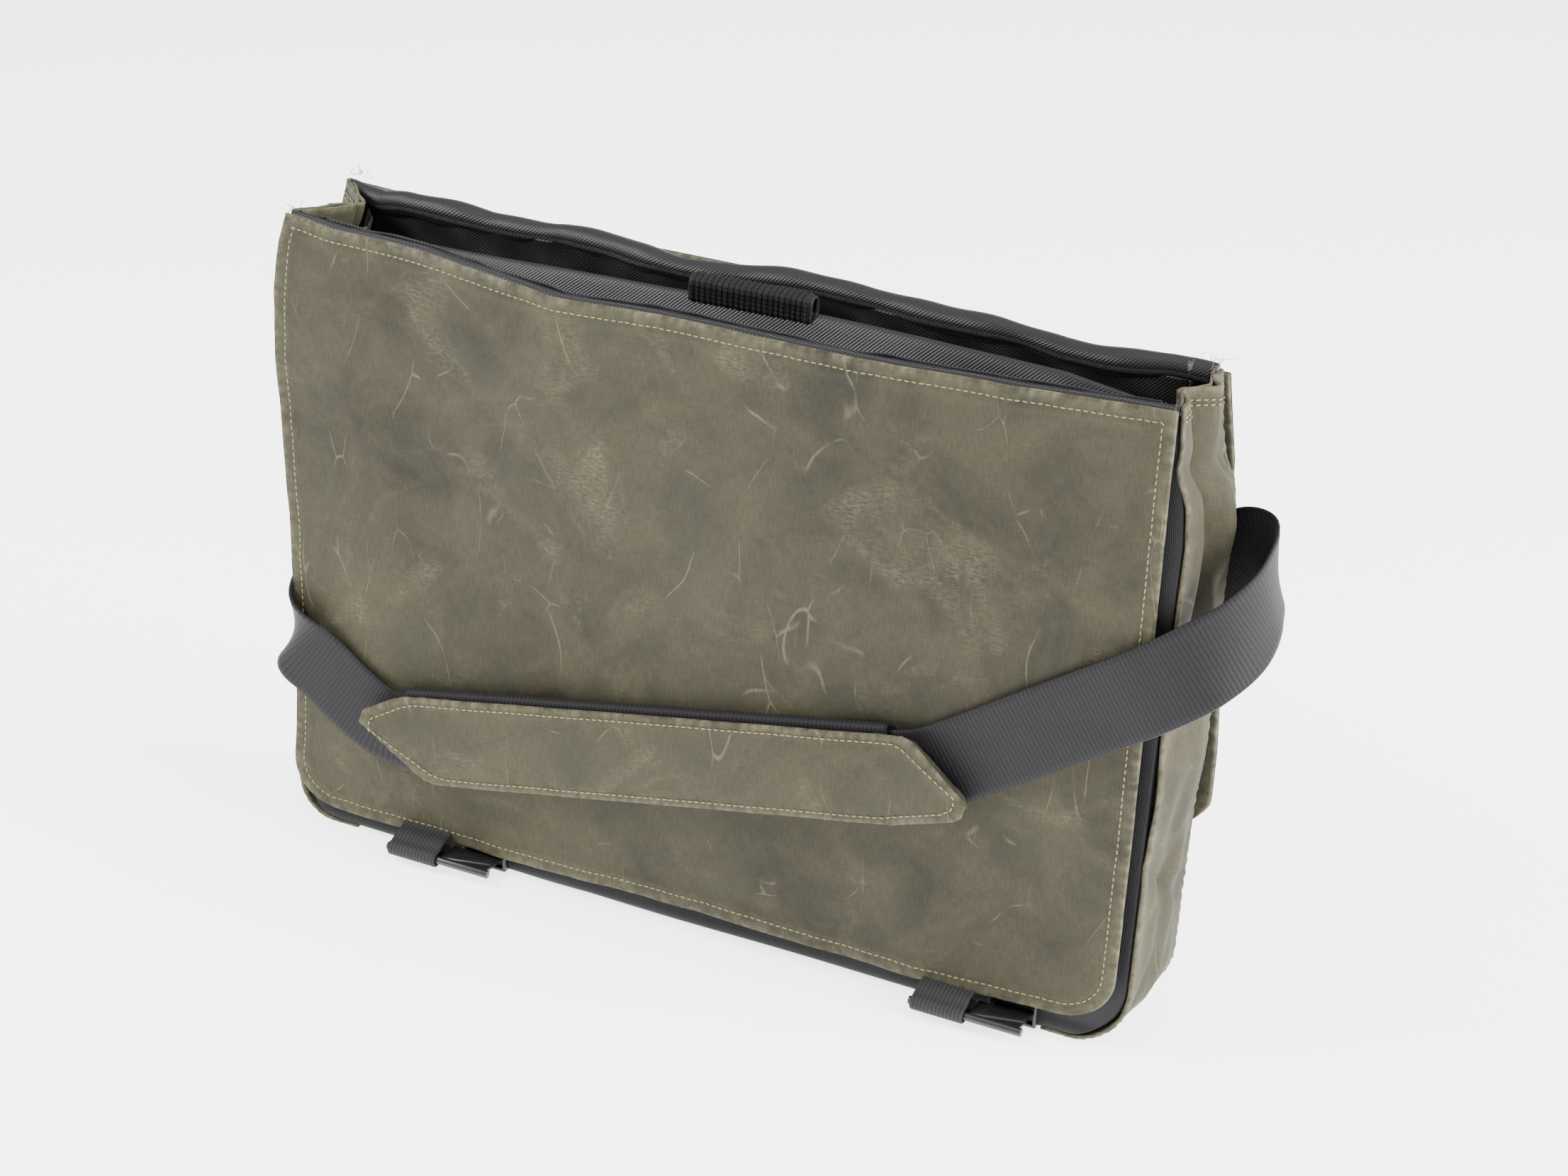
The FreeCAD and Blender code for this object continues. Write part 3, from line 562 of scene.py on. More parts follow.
def beads(name, paths, material, spacing=3.3, length=2.5, radius=0.36, tilt=0.14):
    # Small rounded pieces set along paths; each path is a list of points in millimetres.
    verts, edges = [], []
    for path in paths:
        first = len(verts)
        verts += [tuple(p) for p in np.asarray(path) * mm]
        edges += [(first + i, first + i + 1) for i in range(len(path) - 1)]
    mesh = bpy.data.meshes.new(name)
    mesh.from_pydata(verts, edges, [])
    obj = bpy.data.objects.new(name, mesh)
    bpy.context.collection.objects.link(obj)
    run = obj.modifiers.new("run", "NODES")
    run.node_group = stitchTree
    sizes = dict(spacing=spacing * mm, length=length * mm, radius=radius * mm, tilt=tilt)
    for label, value in sizes.items():
        run[stitchSockets[label]] = value
    run[stitchSockets["material"]] = material
    applyAll(obj)
    obj.data.polygons.foreach_set("use_smooth", [True] * len(obj.data.polygons))
    return obj


def inflate(obj, voxel, pressure, cap):
    # Lets a padded piece fill out, no further than cap millimetres from where it was cut.
    remesh = obj.modifiers.new("even", "REMESH")
    remesh.mode, remesh.voxel_size = "VOXEL", voxel * mm
    applyAll(obj)
    start = np.array([v.co for v in obj.data.vertices])
    cloth = obj.modifiers.new("fill", "CLOTH")
    fabric = cloth.settings
    fabric.use_pressure, fabric.uniform_pressure_force = True, pressure
    fabric.effector_weights.gravity = 0
    fabric.mass, fabric.tension_stiffness, fabric.compression_stiffness = 0.3, 25, 25
    fabric.bending_stiffness = 2.0
    cloth.point_cache.frame_start, cloth.point_cache.frame_end = 1, 20
    for number in range(1, 21):
        bpy.context.scene.frame_set(number)
    graph = bpy.context.evaluated_depsgraph_get()
    moved = np.array([v.co for v in obj.evaluated_get(graph).data.vertices])
    obj.modifiers.clear()
    bpy.context.scene.frame_set(1)
    change = moved - start
    far = np.linalg.norm(change, axis=1, keepdims=True)
    change = change * np.minimum(1, cap * mm / np.maximum(far, 1e-9))
    obj.data.vertices.foreach_set("co", (start + change).ravel())
    even = obj.modifiers.new("even", "SMOOTH")
    even.factor, even.iterations = 0.5, 3
    finer = obj.modifiers.new("finer", "SUBSURF")
    finer.levels = finer.render_levels = 1
    applyAll(obj)
    mesh = obj.data
    mesh.polygons.foreach_set("use_smooth", [True] * len(mesh.polygons))
    layer = mesh.uv_layers.get("flat") or mesh.uv_layers.new(name="flat")
    points = np.array([v.co for v in mesh.vertices])
    index = np.zeros(len(mesh.loops), int)
    mesh.loops.foreach_get("vertex_index", index)
    layer.data.foreach_set("uv", points[index][:, [0, 2]].ravel().astype(np.float32))
    return obj


def keep(obj, body, slot, *nodes):
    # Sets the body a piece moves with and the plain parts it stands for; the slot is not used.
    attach(obj, body)
    if nodes:
        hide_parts(*nodes)
    return obj


# Walls and base

wallSet = dict(thickness=2.0, corner=22.0, step=5.0, base=2.4)


def flatPlace(y, coverSide=False):
    return lambda a, b: soften(a, np.full(np.shape(a), y), b, coverSide)


def backPlace(y):
    # Seen from behind, so a runs the other way.
    return lambda a, b: soften(-a, np.full(np.shape(a), y), b)


def wallRelief(seed, amount):
    return lambda a, b: amount * ripples(a, b, seed, 90) + 1.6 * np.exp(-(((b - 4) / 3.0) ** 2))


a, b = panelGrid(-212, 212, 1.6, 309, 24, wallSet["step"])
frontWall = slab("frontWall", a, b, flatPlace(-22.9), wallSet["thickness"], packcloth,
                 relief=wallRelief(3, 0.25))
keep(frontWall, "bag", "packcloth", "front_wall")
a, b = panelGrid(-213.5, 213.5, 0.6, 304.5, wallSet["corner"], wallSet["step"])
backWall = slab("backWall", a, b, backPlace(22.9), wallSet["thickness"], canvas,
                relief=lambda a, b: 0.4 * ripples(a, b, 8, 90), shift=(700, 0))
keep(backWall, "bag", "waxed_canvas", "back_wall")

a, b = np.meshgrid(np.linspace(-184, 184, 60), np.linspace(-22.5, 22.5, 14))
keep(slab("basePanel", a, b, lambda a, b: np.stack([a, -b, 1.6 + 0.25 * ripples(a, b, 4, 60)], -1),
          wallSet["base"], packcloth),
     "bag", "packcloth", "base_panel")
low, high = box("base_stiffener")
keep(roundedBox("baseStiffener", low, high, 0.6, board), "bag", "board", "base_stiffener")
print("walls made")


# Gussets, with the canvas turned under the bottom corners

gussetSet = dict(reach=24.6, thickness=1.7, corner=22.0, tuck=12.0, top=309.5, hem=1.2)


def gussetPath(s):
    # From the inner end under the base, round the corner, up to the top.
    r = gussetSet["corner"]
    arc = np.pi / 2 * r
    tuck = gussetSet["tuck"]
    t = np.clip((s - tuck) / arc, 0, 1) * np.pi / 2
    x = 181 + np.clip(s, None, tuck) + r * np.sin(t)
    z = 0.8 + r - r * np.cos(t) + np.clip(s - tuck - arc, 0, None)
    return x, z


gussetLength = gussetSet["tuck"] + (np.pi / 2 - 1) * gussetSet["corner"] + gussetSet["top"] - 0.8


gussetFolds = (  # how far out, where the fold starts and ends (across, up) and its width
    (-4.2, (-6, 150), (-9, 285), 3.6),
    (-3.6, (13, 190), (-4, 262), 3.8),
    (-1.6, (-14, 60), (4, 110), 3.0),
    (-1.8, (-20, 18), (-4, 44), 2.6),
    (-1.6, (2, 12), (12, 40), 2.6),
    (1.2, (-8, 14), (2, 40), 2.2),
    (-6.0, (-4, 195), (-5, 335), 4.6),
    (-3.5, (-30, 281), (30, 270), 6.5),
    (3.0, (9, 215), (6, 330), 4.5),
    (2.0, (-15, 220), (-13, 300), 4.0),
    (2.6, (-30, 120), (30, 150), 22.0),
    (-2.4, (-24, 95), (20, 60), 5.0),
)


def gussetPlace(side):
    def place(a, b):
        x, z = gussetPath(b)
        edge = np.clip(1 - (np.abs(a) / gussetSet["reach"]) ** 2, 0, 1)
        puff = 1.1 * ripples(a * 2.0, z * 0.35, 21 + side, 34) * edge ** 0.5 * smooth(12, 60, z)
        puff += 3.0 * crease(a, z, (4, 40), (1, 240), 6.0) * smooth(30, 70, z)
        for depth, start, end, width in gussetFolds:
            puff += depth * crease(a, z, start, end, width)
        sx = side * (x - 0.9 + puff * 0.9)
        y = side * a
        low = np.clip(1 - b / 30, 0, 1)
        return soften(sx, y, z + 0.5 * low * np.sin(a / 3.1) * edge)
    return place


for side, word in ((-1, "left"), (1, "right")):
    us = steps(2 * gussetSet["reach"], 2.2, (0, 0.9, 2.0, 3.4, 5.0)) - gussetSet["reach"]
    vs = np.unique(np.concatenate([np.linspace(0, 50, 26), np.linspace(50, gussetLength - 6, 90),
                                   gussetLength - np.array([4, 2.2, 0.9, 0])]))
    a, b = np.meshgrid(us, vs)
    piece = slab("gusset" + word.title(), a, b, gussetPlace(side), gussetSet["thickness"], canvas,
                 hem=dict(rise=0.5, width=3.6, stitch=2.6), shift=(300 * side + 900, 0))
    keep(piece, "bag", "waxed_canvas", "gusset_" + word)
    place = gussetPlace(side)
    rows = [np.stack([np.linspace(-21, 21, 40), np.full(40, gussetLength - down)], -1) for down in (5.0, 7.2)]
    keep(beads("gussetStitches" + word.title(), [pathOn(place, r, 1.15) for r in rows], thread), "bag", None)

    def hemPlace(a, b, side=side):
        x = np.full(np.shape(a), side * 212.2)
        return soften(x, a * -side, b)

    a, b = np.meshgrid(np.linspace(-21.5, 21.5, 26), np.linspace(289, gussetSet["top"], 8))
    keep(slab("gussetHem" + word.title(), a, b, hemPlace, gussetSet["hem"], canvas, shift=(500, 0)),
         "bag", "waxed_canvas", "gusset_hem_" + word)
print("gussets made")


# Lining

liningSet = dict(y=20.4, thickness=0.9, frontTop=309.6, backTop=303.0, floor=5.9)


def liningRelief(seed):
    def relief(a, b):
        long, short = ripples(a, b * 0.35, seed, 34), ripples(a, b, seed + 1, 22)
        return (0.9 * long + 0.5 * short) * smooth(120, 300, b)
    return relief


for word, sign, top, seed in (
    ("Front", -1, liningSet["frontTop"], 31),
    ("Back", 1, liningSet["backTop"], 35),
):
    def facePlace(a, b, sign=sign):
        return soften(sign * a, np.full(np.shape(a), sign * liningSet["y"]), b)

    a, b = panelGrid(-204, 204, 5.5, top, 12.0, 4.0)
    piece = slab("lining" + word, a, b, facePlace, liningSet["thickness"], twill, relief=liningRelief(seed))
    keep(piece, "bag", "lining_twill", "lining_" + word.lower())
a, b = np.meshgrid(np.linspace(-194, 194, 50), np.linspace(-liningSet["y"], liningSet["y"], 10))
floorPlace = lambda a, b: np.stack([a, b, liningSet["floor"] + 0.15 * ripples(a, b, 5, 40)], -1)
keep(slab("liningFloor", a, b, floorPlace, 0.8, twill), "bag", "lining_twill", "lining_floor")
for side, word in ((-1, "left"), (1, "right")):
    def sidePlace(a, b, side=side):
        return soften(side * (210.6 - 7.0 * smooth(170, 225, b)), a * side, b)

    a, b = np.meshgrid(np.linspace(-20.6, 20.6, 18), np.linspace(16, 300, 70))
    keep(slab("lining" + word.title(), a, b, sidePlace, 0.8, twill,
              relief=lambda a, b: 0.5 * ripples(a, b, 41, 16)),
         "bag", "lining_twill", "lining_" + word)
print("lining made")


# Padded divider with its ribbed tab

dividerSet = dict(low=(-191.5, 2.9, 7.0), high=(191.5, 7.5, 305.5), round=1.6, lean=15.0)
divider = roundedBox("laptopSleeve", dividerSet["low"], dividerSet["high"], dividerSet["round"], twill)
inflate(divider, 4.5, 4.0, 1.6)
co = np.array([v.co for v in divider.data.vertices]) / mm
top = smooth(270, 306, co[:, 2])
lean = smooth(306, 255, co[:, 2]) * smooth(120, 220, co[:, 2]) * smooth(191, 150, np.abs(co[:, 0]))
co[:, 1] -= (dividerSet["lean"] + 2.5 * ripples(co[:, 0], co[:, 2], 51, 60)) * lean
co[:, 1] += (1.8 * np.sin(co[:, 0] / 43.0 + 0.6) + 0.8 * np.sin(co[:, 0] / 19.0)) * top
co[:, 2] += np.interp(co[:, 0], [-192, -165, -27, 32, 86, 153, 192], [-6, -5, 1, 2, 3, 2, -3]) * top
divider.data.vertices.foreach_set("co", (co * mm).ravel())
keep(divider, "bag", "lining_twill", "laptop_sleeve")

tabSet = dict(x0=-26.0, x1=32.0, top=308.0, half=3.6, rib=2.7)


def tabPlace(a, b):
    # b runs up the front of the divider, over its top edge and down the back.
    top, half = tabSet["top"], tabSet["half"]
    turn = np.clip((b - 22) / (np.pi * half), 0, 1) * np.pi
    y = 5.2 - half * np.cos(turn)
    z = top - half - 22 + np.clip(b, None, 22) + half * np.sin(turn) - np.clip(b - 22 - np.pi * half, 0, None)
    y = y + (1.8 * np.sin(a / 43.0 + 0.6) + 0.8 * np.sin(a / 19.0)) * smooth(270, 306, z)
    return np.stack([a, y, z + 1.6], -1)


a, b = np.meshgrid(np.linspace(tabSet["x0"], tabSet["x1"], 40), np.linspace(15, 41, 20))
keep(slab("sleevePullTab", a, b, tabPlace, 1.4, webbing), "bag", "webbing", "sleeve_pull_tab")
ribs = []
for x in np.arange(tabSet["x0"] + 1.5, tabSet["x1"] - 1, tabSet["rib"]):
    line = np.stack([np.full(24, x), np.linspace(16, 40, 24)], -1)
    ribs.append(pathOn(tabPlace, line, 0.8))
keep(beads("tabRibs", ribs, webbing, spacing=2.0, length=3.2, radius=0.75, tilt=0.02), "bag", None)
print("divider made")


# Top hems

def tube(name, centres, radii, material, sides=14, flatten=1.0):
    centres = np.asarray(centres, float)
    go = np.gradient(centres, axis=0)
    go /= np.linalg.norm(go, axis=1, keepdims=True)
    side = np.cross(go, [0, 0, 1.0])
    side /= np.linalg.norm(side, axis=1, keepdims=True)
    up = np.cross(side, go)
    angles = np.linspace(0, 2 * np.pi, sides, endpoint=False)
    rings = [
        centres + (side * math.cos(t) * flatten + up * math.sin(t)) * np.asarray(radii)[:, None]
        for t in angles
    ]
    verts = np.stack(rings, 1).reshape(-1, 3)
    count = len(centres)
    faces = []
    for i in range(count - 1):
        for j in range(sides):
            k = (j + 1) % sides
            faces.append((i * sides + j, (i + 1) * sides + j, (i + 1) * sides + k, i * sides + k))
    faces.append(tuple(range(sides)))
    faces.append(tuple((count - 1) * sides + j for j in range(sides))[::-1])
    lengths = np.concatenate([[0], np.cumsum(np.linalg.norm(np.diff(centres, axis=0), axis=1))])
    uv = np.stack([np.repeat(lengths, sides), np.tile(angles * radii[0], count)], -1)
    obj = meshObject(name, verts, faces, material, uv)
    fixNormals(obj)
    return obj


hemSet = dict(front=1.7, back=5.9, frontHeight=308.6, backHeight=305.4)
x = np.linspace(-213, 212, 240)
line = soften(x, np.full(240, -26.6), np.full(240, hemSet["frontHeight"]))
radii = hemSet["front"] + 0.25 * np.sin(x / 9.0)
keep(tube("frontTopHem", line, radii, twill), "bag", "lining_twill", "front_top_hem")
rollY = 23.6 + 0.9 * np.sin(x / 23.0) + 0.6 * np.sin(x / 11.0 + 2)
line = soften(x, rollY, hemSet["backHeight"] + 0.8 * np.sin(x / 15.0))
radii = hemSet["back"] + 0.5 * np.sin(x / 13.0 + 1) + 0.3 * np.sin(x / 5.3)
keep(tube("backTopHem", line, radii, twill, 18, flatten=0.95), "bag", "lining_twill", "back_top_hem")
print("hems made")


# Front cover

coverSet = dict(x=214.5, low=13.0, high=309.6, corner=25.0, canvas=1.7, lining=1.0, stitch=5.4)


def coverPlace(y):
    def place(a, b):
        p = soften(a, np.full(np.shape(a), -26.0), b, True)
        free = smooth(300, 60, b)
        wave = 1.1 * np.sin(a / 52.0 + 0.9) * free + 0.8 * ripples(a, b, 61, 120) * smooth(310, 250, b)
        corner = 3.0 * smooth(120, 215, a) * smooth(140, 10, b)
        p[..., 1] = p[..., 1] + 26.0 + y - wave - corner
        hang = np.interp(a, [-215, -177, -102, 15, 119, 191, 215], [-1, -2, -3, 1, -1, 3, 3])
        p[..., 2] = p[..., 2] + hang * smooth(80, 13, b)
        return p
    return place


def coverRelief(a, b):
    fine = 0.28 * ripples(a, b, 65, 38) + 0.12 * ripples(a, b, 66, 17)
    lines = (
        ((-150, 285), (-60, 200), 9, -0.7),
        ((-60, 296), (-95, 235), 6, 0.9),
        ((-40, 296), (30, 250), 8, -0.6),
        ((60, 220), (150, 120), 7, 0.5),
        ((-190, 250), (-150, 160), 8, 0.6),
        ((90, 290), (190, 240), 9, 0.5),
        ((-120, 40), (60, 22), 6, -0.5),
        ((120, 40), (195, 90), 8, 0.6),
        ((-200, 200), (-170, 90), 6, -0.5),
    )
    for start, end, width, amount in lines:
        fine = fine + amount * crease(a, b, start, end, width)
    return fine


coverEdges = [-coverSet["x"], coverSet["x"], coverSet["low"], coverSet["high"], coverSet["corner"]]
a, b = panelGrid(*coverEdges, 2.6)
coverCanvas = slab("coverCanvas", a, b, coverPlace(-30.1), coverSet["canvas"], canvas,
                   hem=dict(rise=0.55, width=9.0, stitch=coverSet["stitch"]), relief=coverRelief)
keep(coverCanvas, "cover", "waxed_canvas", "front_cover_canvas")
a, b = panelGrid(-213.2, 213.2, coverSet["low"] + 1.4, 308.2, 24.0, 4.0)
coverLining = slab("coverLining", a, b, coverPlace(-28.6), coverSet["lining"], packcloth)
keep(coverLining, "cover", "packcloth", "front_cover_lining")


def coverFace(a, b):
    return coverPlace(-30.1)(a, b) + normals(coverPlace(-30.1), a, b) * coverRelief(a, b)[..., None]


path = insetPath(*coverEdges, coverSet["stitch"])
keep(beads("coverStitches", [pathOn(coverFace, path, 1.12)], thread), "cover", None)
print("cover made")


# Elastic loops, hooks and keepers

elasticSet = dict(x=137.0, width=25.0, thickness=1.3)
hookSet = dict(start=13.6, end=38.5, front=-42.6, narrow=5.5)


def bandPlace(points):
    points = np.asarray(points, float)
    lengths = np.concatenate([[0], np.cumsum(np.linalg.norm(np.diff(points, axis=0), axis=1))])

    def place(a, b):
        y = np.interp(b, lengths, points[:, 0])
        z = np.interp(b, lengths, points[:, 1])
        return np.stack([a, y, z], -1)
    return place, lengths[-1]


def spline(points, count):
    # A smooth open curve through the points, any number of columns.
    points = np.asarray(points, float)
    chord = np.concatenate([[0], np.cumsum(np.linalg.norm(np.diff(points[:, :3], axis=0), axis=1))])
    t = np.linspace(0, chord[-1], count)
    slopes = np.gradient(points, chord, axis=0)
    k = np.clip(np.searchsorted(chord, t, side="right") - 1, 0, len(points) - 2)
    h = (chord[k + 1] - chord[k])[:, None]
    s = ((t - chord[k]) / h[:, 0])[:, None]
    return (
        (2 * s**3 - 3 * s**2 + 1) * points[k] + (s**3 - 2 * s**2 + s) * h * slopes[k]
        + (-2 * s**3 + 3 * s**2) * points[k + 1] + (s**3 - s**2) * h * slopes[k + 1]
    )


for side, word in ((-1, "left"), (1, "right")):
    x = side * elasticSet["x"]
    turn = [(-43 - 3.2 * math.sin(t), 7 + 3.2 * math.cos(t)) for t in np.linspace(0, np.pi, 12)]
    line = [(-28.7, 24), (-28.8, 16), (-31.0, 14.4), (-37.2, 12.9)] + turn
    line += [(-37, 3.9), (-32.5, 4.6), (-30.0, 8.0)]
    flat = spline(np.array([(p[0], p[1], 0) for p in line]), 70)[:, :2]
    place, length = bandPlace(flat)
    a, b = np.meshgrid(x + np.linspace(-0.5, 0.5, 14) * elasticSet["width"], np.linspace(0, length, 80))
    piece = slab("elasticLoop" + word.title(), a, b, place, elasticSet["thickness"], elastic)
    keep(piece, "cover", "elastic", "elastic_loop_" + word)
    hook = fromFrame("hookRigid" + word.title(), "hook_" + word, plastic, 0.5)
    keep(hook, word + "_hook", "molded_plastic", "hook_" + word)
    low, high = (x + hookSet["start"], hookSet["front"], 5.6), (x + hookSet["end"], -28.6, 8.7)
    plate = roundedBox("hookPlate" + word.title(), low, high, 1.4, plastic)
    for vert in plate.data.vertices:  # the plate narrows towards its free end
        if vert.co.y < -36 * mm:
            vert.co.y += hookSet["narrow"] * mm * smooth(x + 14, x + 38, vert.co.x / mm)
    keep(plate, word + "_hook", "molded_plastic")
    keeper = fromFrame("hookKeeper" + word.title(), "hook_keeper_" + word, plastic, 0.4)
    keep(keeper, "bag", "molded_plastic", "hook_keeper_" + word)
print("fasteners made")


# Strap: one webbing from the left rear edge, across the front and round to the right rear edge

strapSet = dict(width=38.0, thickness=1.5, tail=1.4)
front = -35.2  # the strap lies on the cover here
strapStations = np.array([
    # x, y, z of the middle, then the direction across it
    (-204.0, 28.2, 153.0, -0.72, 0.0, 0.69),
    (-212.0, 25.0, 144.5, -0.45, -0.42, 0.78),
    (-214.6, 10.0, 133.0, -0.05, -0.54, 0.84),
    (-214.4, -12.0, 118.0, 0.0, -0.56, 0.83),
    (-212.6, -28.5, 105.5, 0.20, -0.42, 0.88),
    (-207.0, front - 0.4, 97.5, 0.50, -0.05, 0.86),
    (-192.0, front, 86.5, 0.56, 0.0, 0.83),
    (-176.0, front, 75.5, 0.50, 0.0, 0.87),
    (-158.0, front, 67.0, 0.20, 0.0, 0.98),
    (-138.0, front, 67.6, -0.12, 0.0, 0.99),
    (-110.0, front, 72.9, -0.19, 0.0, 0.98),
    (-30.0, front, 88.5, -0.19, 0.0, 0.98),
    (60.0, front, 106.0, -0.19, 0.0, 0.98),
    (98.0, front, 113.6, -0.22, 0.0, 0.975),
    (120.0, front, 120.2, -0.42, 0.0, 0.91),
    (140.0, front, 132.6, -0.54, 0.0, 0.84),
    (165.0, front, 149.6, -0.56, 0.0, 0.83),
    (195.0, front - 0.3, 169.8, -0.56, 0.0, 0.83),
    (218.0, front - 1.0, 185.6, -0.52, 0.02, 0.85),
    (237.0, -32.0, 200.0, -0.44, 0.0, 0.90),
    (250.5, -18.0, 212.0, -0.30, -0.12, 0.95),
    (255.0, 0.0, 225.0, -0.15, -0.15, 0.97),
    (250.0, 15.0, 235.0, -0.20, 0.10, 0.97),
    (238.0, 25.0, 232.5, -0.52, 0.10, 0.85),
    (224.5, 28.2, 213.0, -0.76, 0.0, 0.65),
    (213.0, 28.6, 190.0, -0.84, 0.0, 0.54),
])
strapLine = spline(strapStations, 520)
strapLength = np.concatenate([[0], np.cumsum(np.linalg.norm(np.diff(strapLine[:, :3], axis=0), axis=1))])
strapGo = np.gradient(strapLine[:, :3], strapLength, axis=0)
strapAcross = strapLine[:, 3:]
strapAcross = strapAcross - strapGo * (strapAcross * strapGo).sum(1, keepdims=True)
strapAcross /= np.linalg.norm(strapAcross, axis=1, keepdims=True)


def strapPlace(a, b):
    # a runs along the strap, b across it.
    centre = np.stack([np.interp(a, strapLength, strapLine[:, i]) for i in range(3)], -1)
    across = np.stack([np.interp(a, strapLength, strapAcross[:, i]) for i in range(3)], -1)
    return centre + across * b[..., None]


a, b = np.meshgrid(np.linspace(0, strapLength[-1], 400), np.linspace(-0.5, 0.5, 15) * strapSet["width"])
strapWebbing = slab("strapWebbing", a, b, strapPlace, strapSet["thickness"], webbing)
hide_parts("strap_left_rear", "strap_left_run", "strap_front_run",
            "strap_right_loop", "strap_right_rear")
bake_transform(strapWebbing)
print("strap length", round(float(strapLength[-1]), 1))

tailRuns = dict(  # x and z where each tail leaves the edge, and where it ends on the back wall
    left=(np.array([-212.0, 148.0]), np.array([-135.8, 236.0])),
    right=(np.array([214.0, 188.0]), np.array([136.3, 133.0])),
)
for word in ("left", "right"):
    start, end = tailRuns[word]
    go = (end - start) / np.linalg.norm(end - start)
    wide = np.array([-go[1], go[0]])
    if wide[1] < 0:
        wide = -wide
    length = float(np.linalg.norm(end - start)) + 6

    def tailPlace(a, b, start=start, go=go, wide=wide, y=26.0):
        x = start[0] + go[0] * a + wide[0] * b
        z = start[1] + go[1] * a + wide[1] * b
        p = soften(x, np.full(np.shape(a), 24.0), z)
        p[..., 1] += y - 24.0
        return p

    a, b = np.meshgrid(np.linspace(0, length, 40), np.linspace(-18.6, 18.6, 12))
    piece = slab("strapTail" + word.title(), a, b, tailPlace, strapSet["tail"], webbing)
    keep(piece, "bag", "webbing", "strap_tail_" + word)

    def anchorPlace(a, b, inner=tailPlace):
        return inner(a, b, y=27.6)

    a, b = np.meshgrid(np.linspace(length - 44, length, 20), np.linspace(-19.5, 19.5, 12))
    piece = slab("strapAnchor" + word.title(), a, b, anchorPlace, strapSet["thickness"], webbing,
                 hem=dict(rise=0.3, width=3, stitch=2.2))
    keep(piece, "bag", "webbing", "strap_anchor_" + word)
    loops = [(length - 40, -15), (length - 4, -15), (length - 4, 15), (length - 40, 15), (length - 40, -15),
             (length - 4, 15), (length - 4, -15), (length - 40, 15)]
    path = densify(loops, 1.5)
    line = tailPlace(path[:, 0], path[:, 1], y=28.6)
    keep(beads("anchorStitches" + word.title(), [line], darkThread), "bag", None)
    roll = fromFrame("strapRoll" + word.title(), "strap_roll_" + word, webbing, 0.3)
    keep(roll, "strap_ends", "webbing", "strap_roll_" + word)
print("strap made")


# Shoulder pad: canvas over foam, with a webbing sleeve behind

padSet = dict(origin=(-12.4, 96.4), slope=0.195, canvas=1.5, front=-43.6)
padGo = np.array([1, padSet["slope"]]) / math.hypot(1, padSet["slope"])
padUp = np.array([-padGo[1], padGo[0]])
padOutline = [(-155.5, 4.5), (-151.0, 1.0), (-126.0, -24.0), (-119.0, -26.0), (0.0, -26.0), (118.0, -26.0),
              (149.0, -21.0), (155.0, -17.5), (155.5, -12.5), (134.0, 13.6), (129.0, 16.5), (0.0, 17.5),
              (-130.0, 17.5), (-137.0, 16.0), (-154.5, 9.5)]


def rowLimits(outline, u):
    # Lowest and highest point of the closed outline at each distance along it.
    pts = np.array(outline + outline[:1])
    lows, highs = np.full(len(u), 1e9), np.full(len(u), -1e9)
    for p, q in zip(pts, pts[1:]):
        x0, x1 = sorted((p[0], q[0]))
        inside = (u >= x0 - 1e-6) & (u <= x1 + 1e-6)
        t = np.where(abs(q[0] - p[0]) > 1e-6, (u - p[0]) / (q[0] - p[0] + 1e-12), 0)
        v = p[1] + t * (q[1] - p[1])
        lows = np.where(inside, np.minimum(lows, v), lows)
        highs = np.where(inside, np.maximum(highs, v), highs)
    return lows, highs


def padPoint(u, v):
    x, z = padSet["origin"]
    return x + padGo[0] * u + padUp[0] * v, z + padGo[1] * u + padUp[1] * v


def padPlace(y, bulge=0.0):
    def place(a, b):
        x, z = padPoint(a, b)
        lift = -0.9 * smooth(120, 155, a) - 0.6 * smooth(-130, -155, a) + 0.25 * ripples(a, b, 71, 46)
        roundness = bulge * np.clip(1 - ((b + 4) / 24) ** 2, 0, 1)
        return np.stack([x, y + lift - roundness, z], -1)
    return place


def padGrid(inset, across=22):
    ends = np.linspace(118, 155.4 - inset, 16)
    us = np.concatenate([-ends[::-1], np.linspace(-115, 115, 86), ends])
    lows, highs = rowLimits(padOutline, np.clip(us, -155.4, 155.4))
    lows, highs = lows + inset, highs - inset
    t = np.concatenate([[0, 0.03, 0.08], np.linspace(0.14, 0.86, across - 6), [0.92, 0.97, 1]])
    a = np.tile(us, (len(t), 1))
    return a, lows + t[:, None] * (highs - lows)


a, b = padGrid(0.0, 26)
padCanvas = slab("padCanvas", a, b, padPlace(padSet["front"], 1.6), padSet["canvas"], canvas,
                 hem=dict(rise=0.5, width=5.4, stitch=3.4), shift=(1300, 200))
keep(padCanvas, "pad", "waxed_canvas", "pad_canvas")
a, b = padGrid(1.2, 16)  # the foam has the canvas turned round it, so it takes that finish
foamSlab = slab("padFoam", a, b, padPlace(-40.4), 4.6, canvas, shift=(1300, 600))
inflate(foamSlab, 2.5, 4.0, 1.0)
keep(foamSlab, "pad", "foam", "pad_foam")
path = []
for u, v in padOutline + padOutline[:1]:
    mid = np.array([0, -4.0])
    p = np.array([u, v])
    away = p - mid
    pull = np.array([np.sign(away[0]) * (5.0 if abs(u) > 110 else 0), np.sign(away[1]) * 3.2])
    path.append(tuple(p - pull))
line = pathOn(padPlace(padSet["front"], 1.6), densify(path, 1.2), 1.25)
keep(beads("padStitches", [line], thread), "pad", None)

sleeveSet = dict(half=19.8, drop=4.2, front=-38.0, back=-32.8)


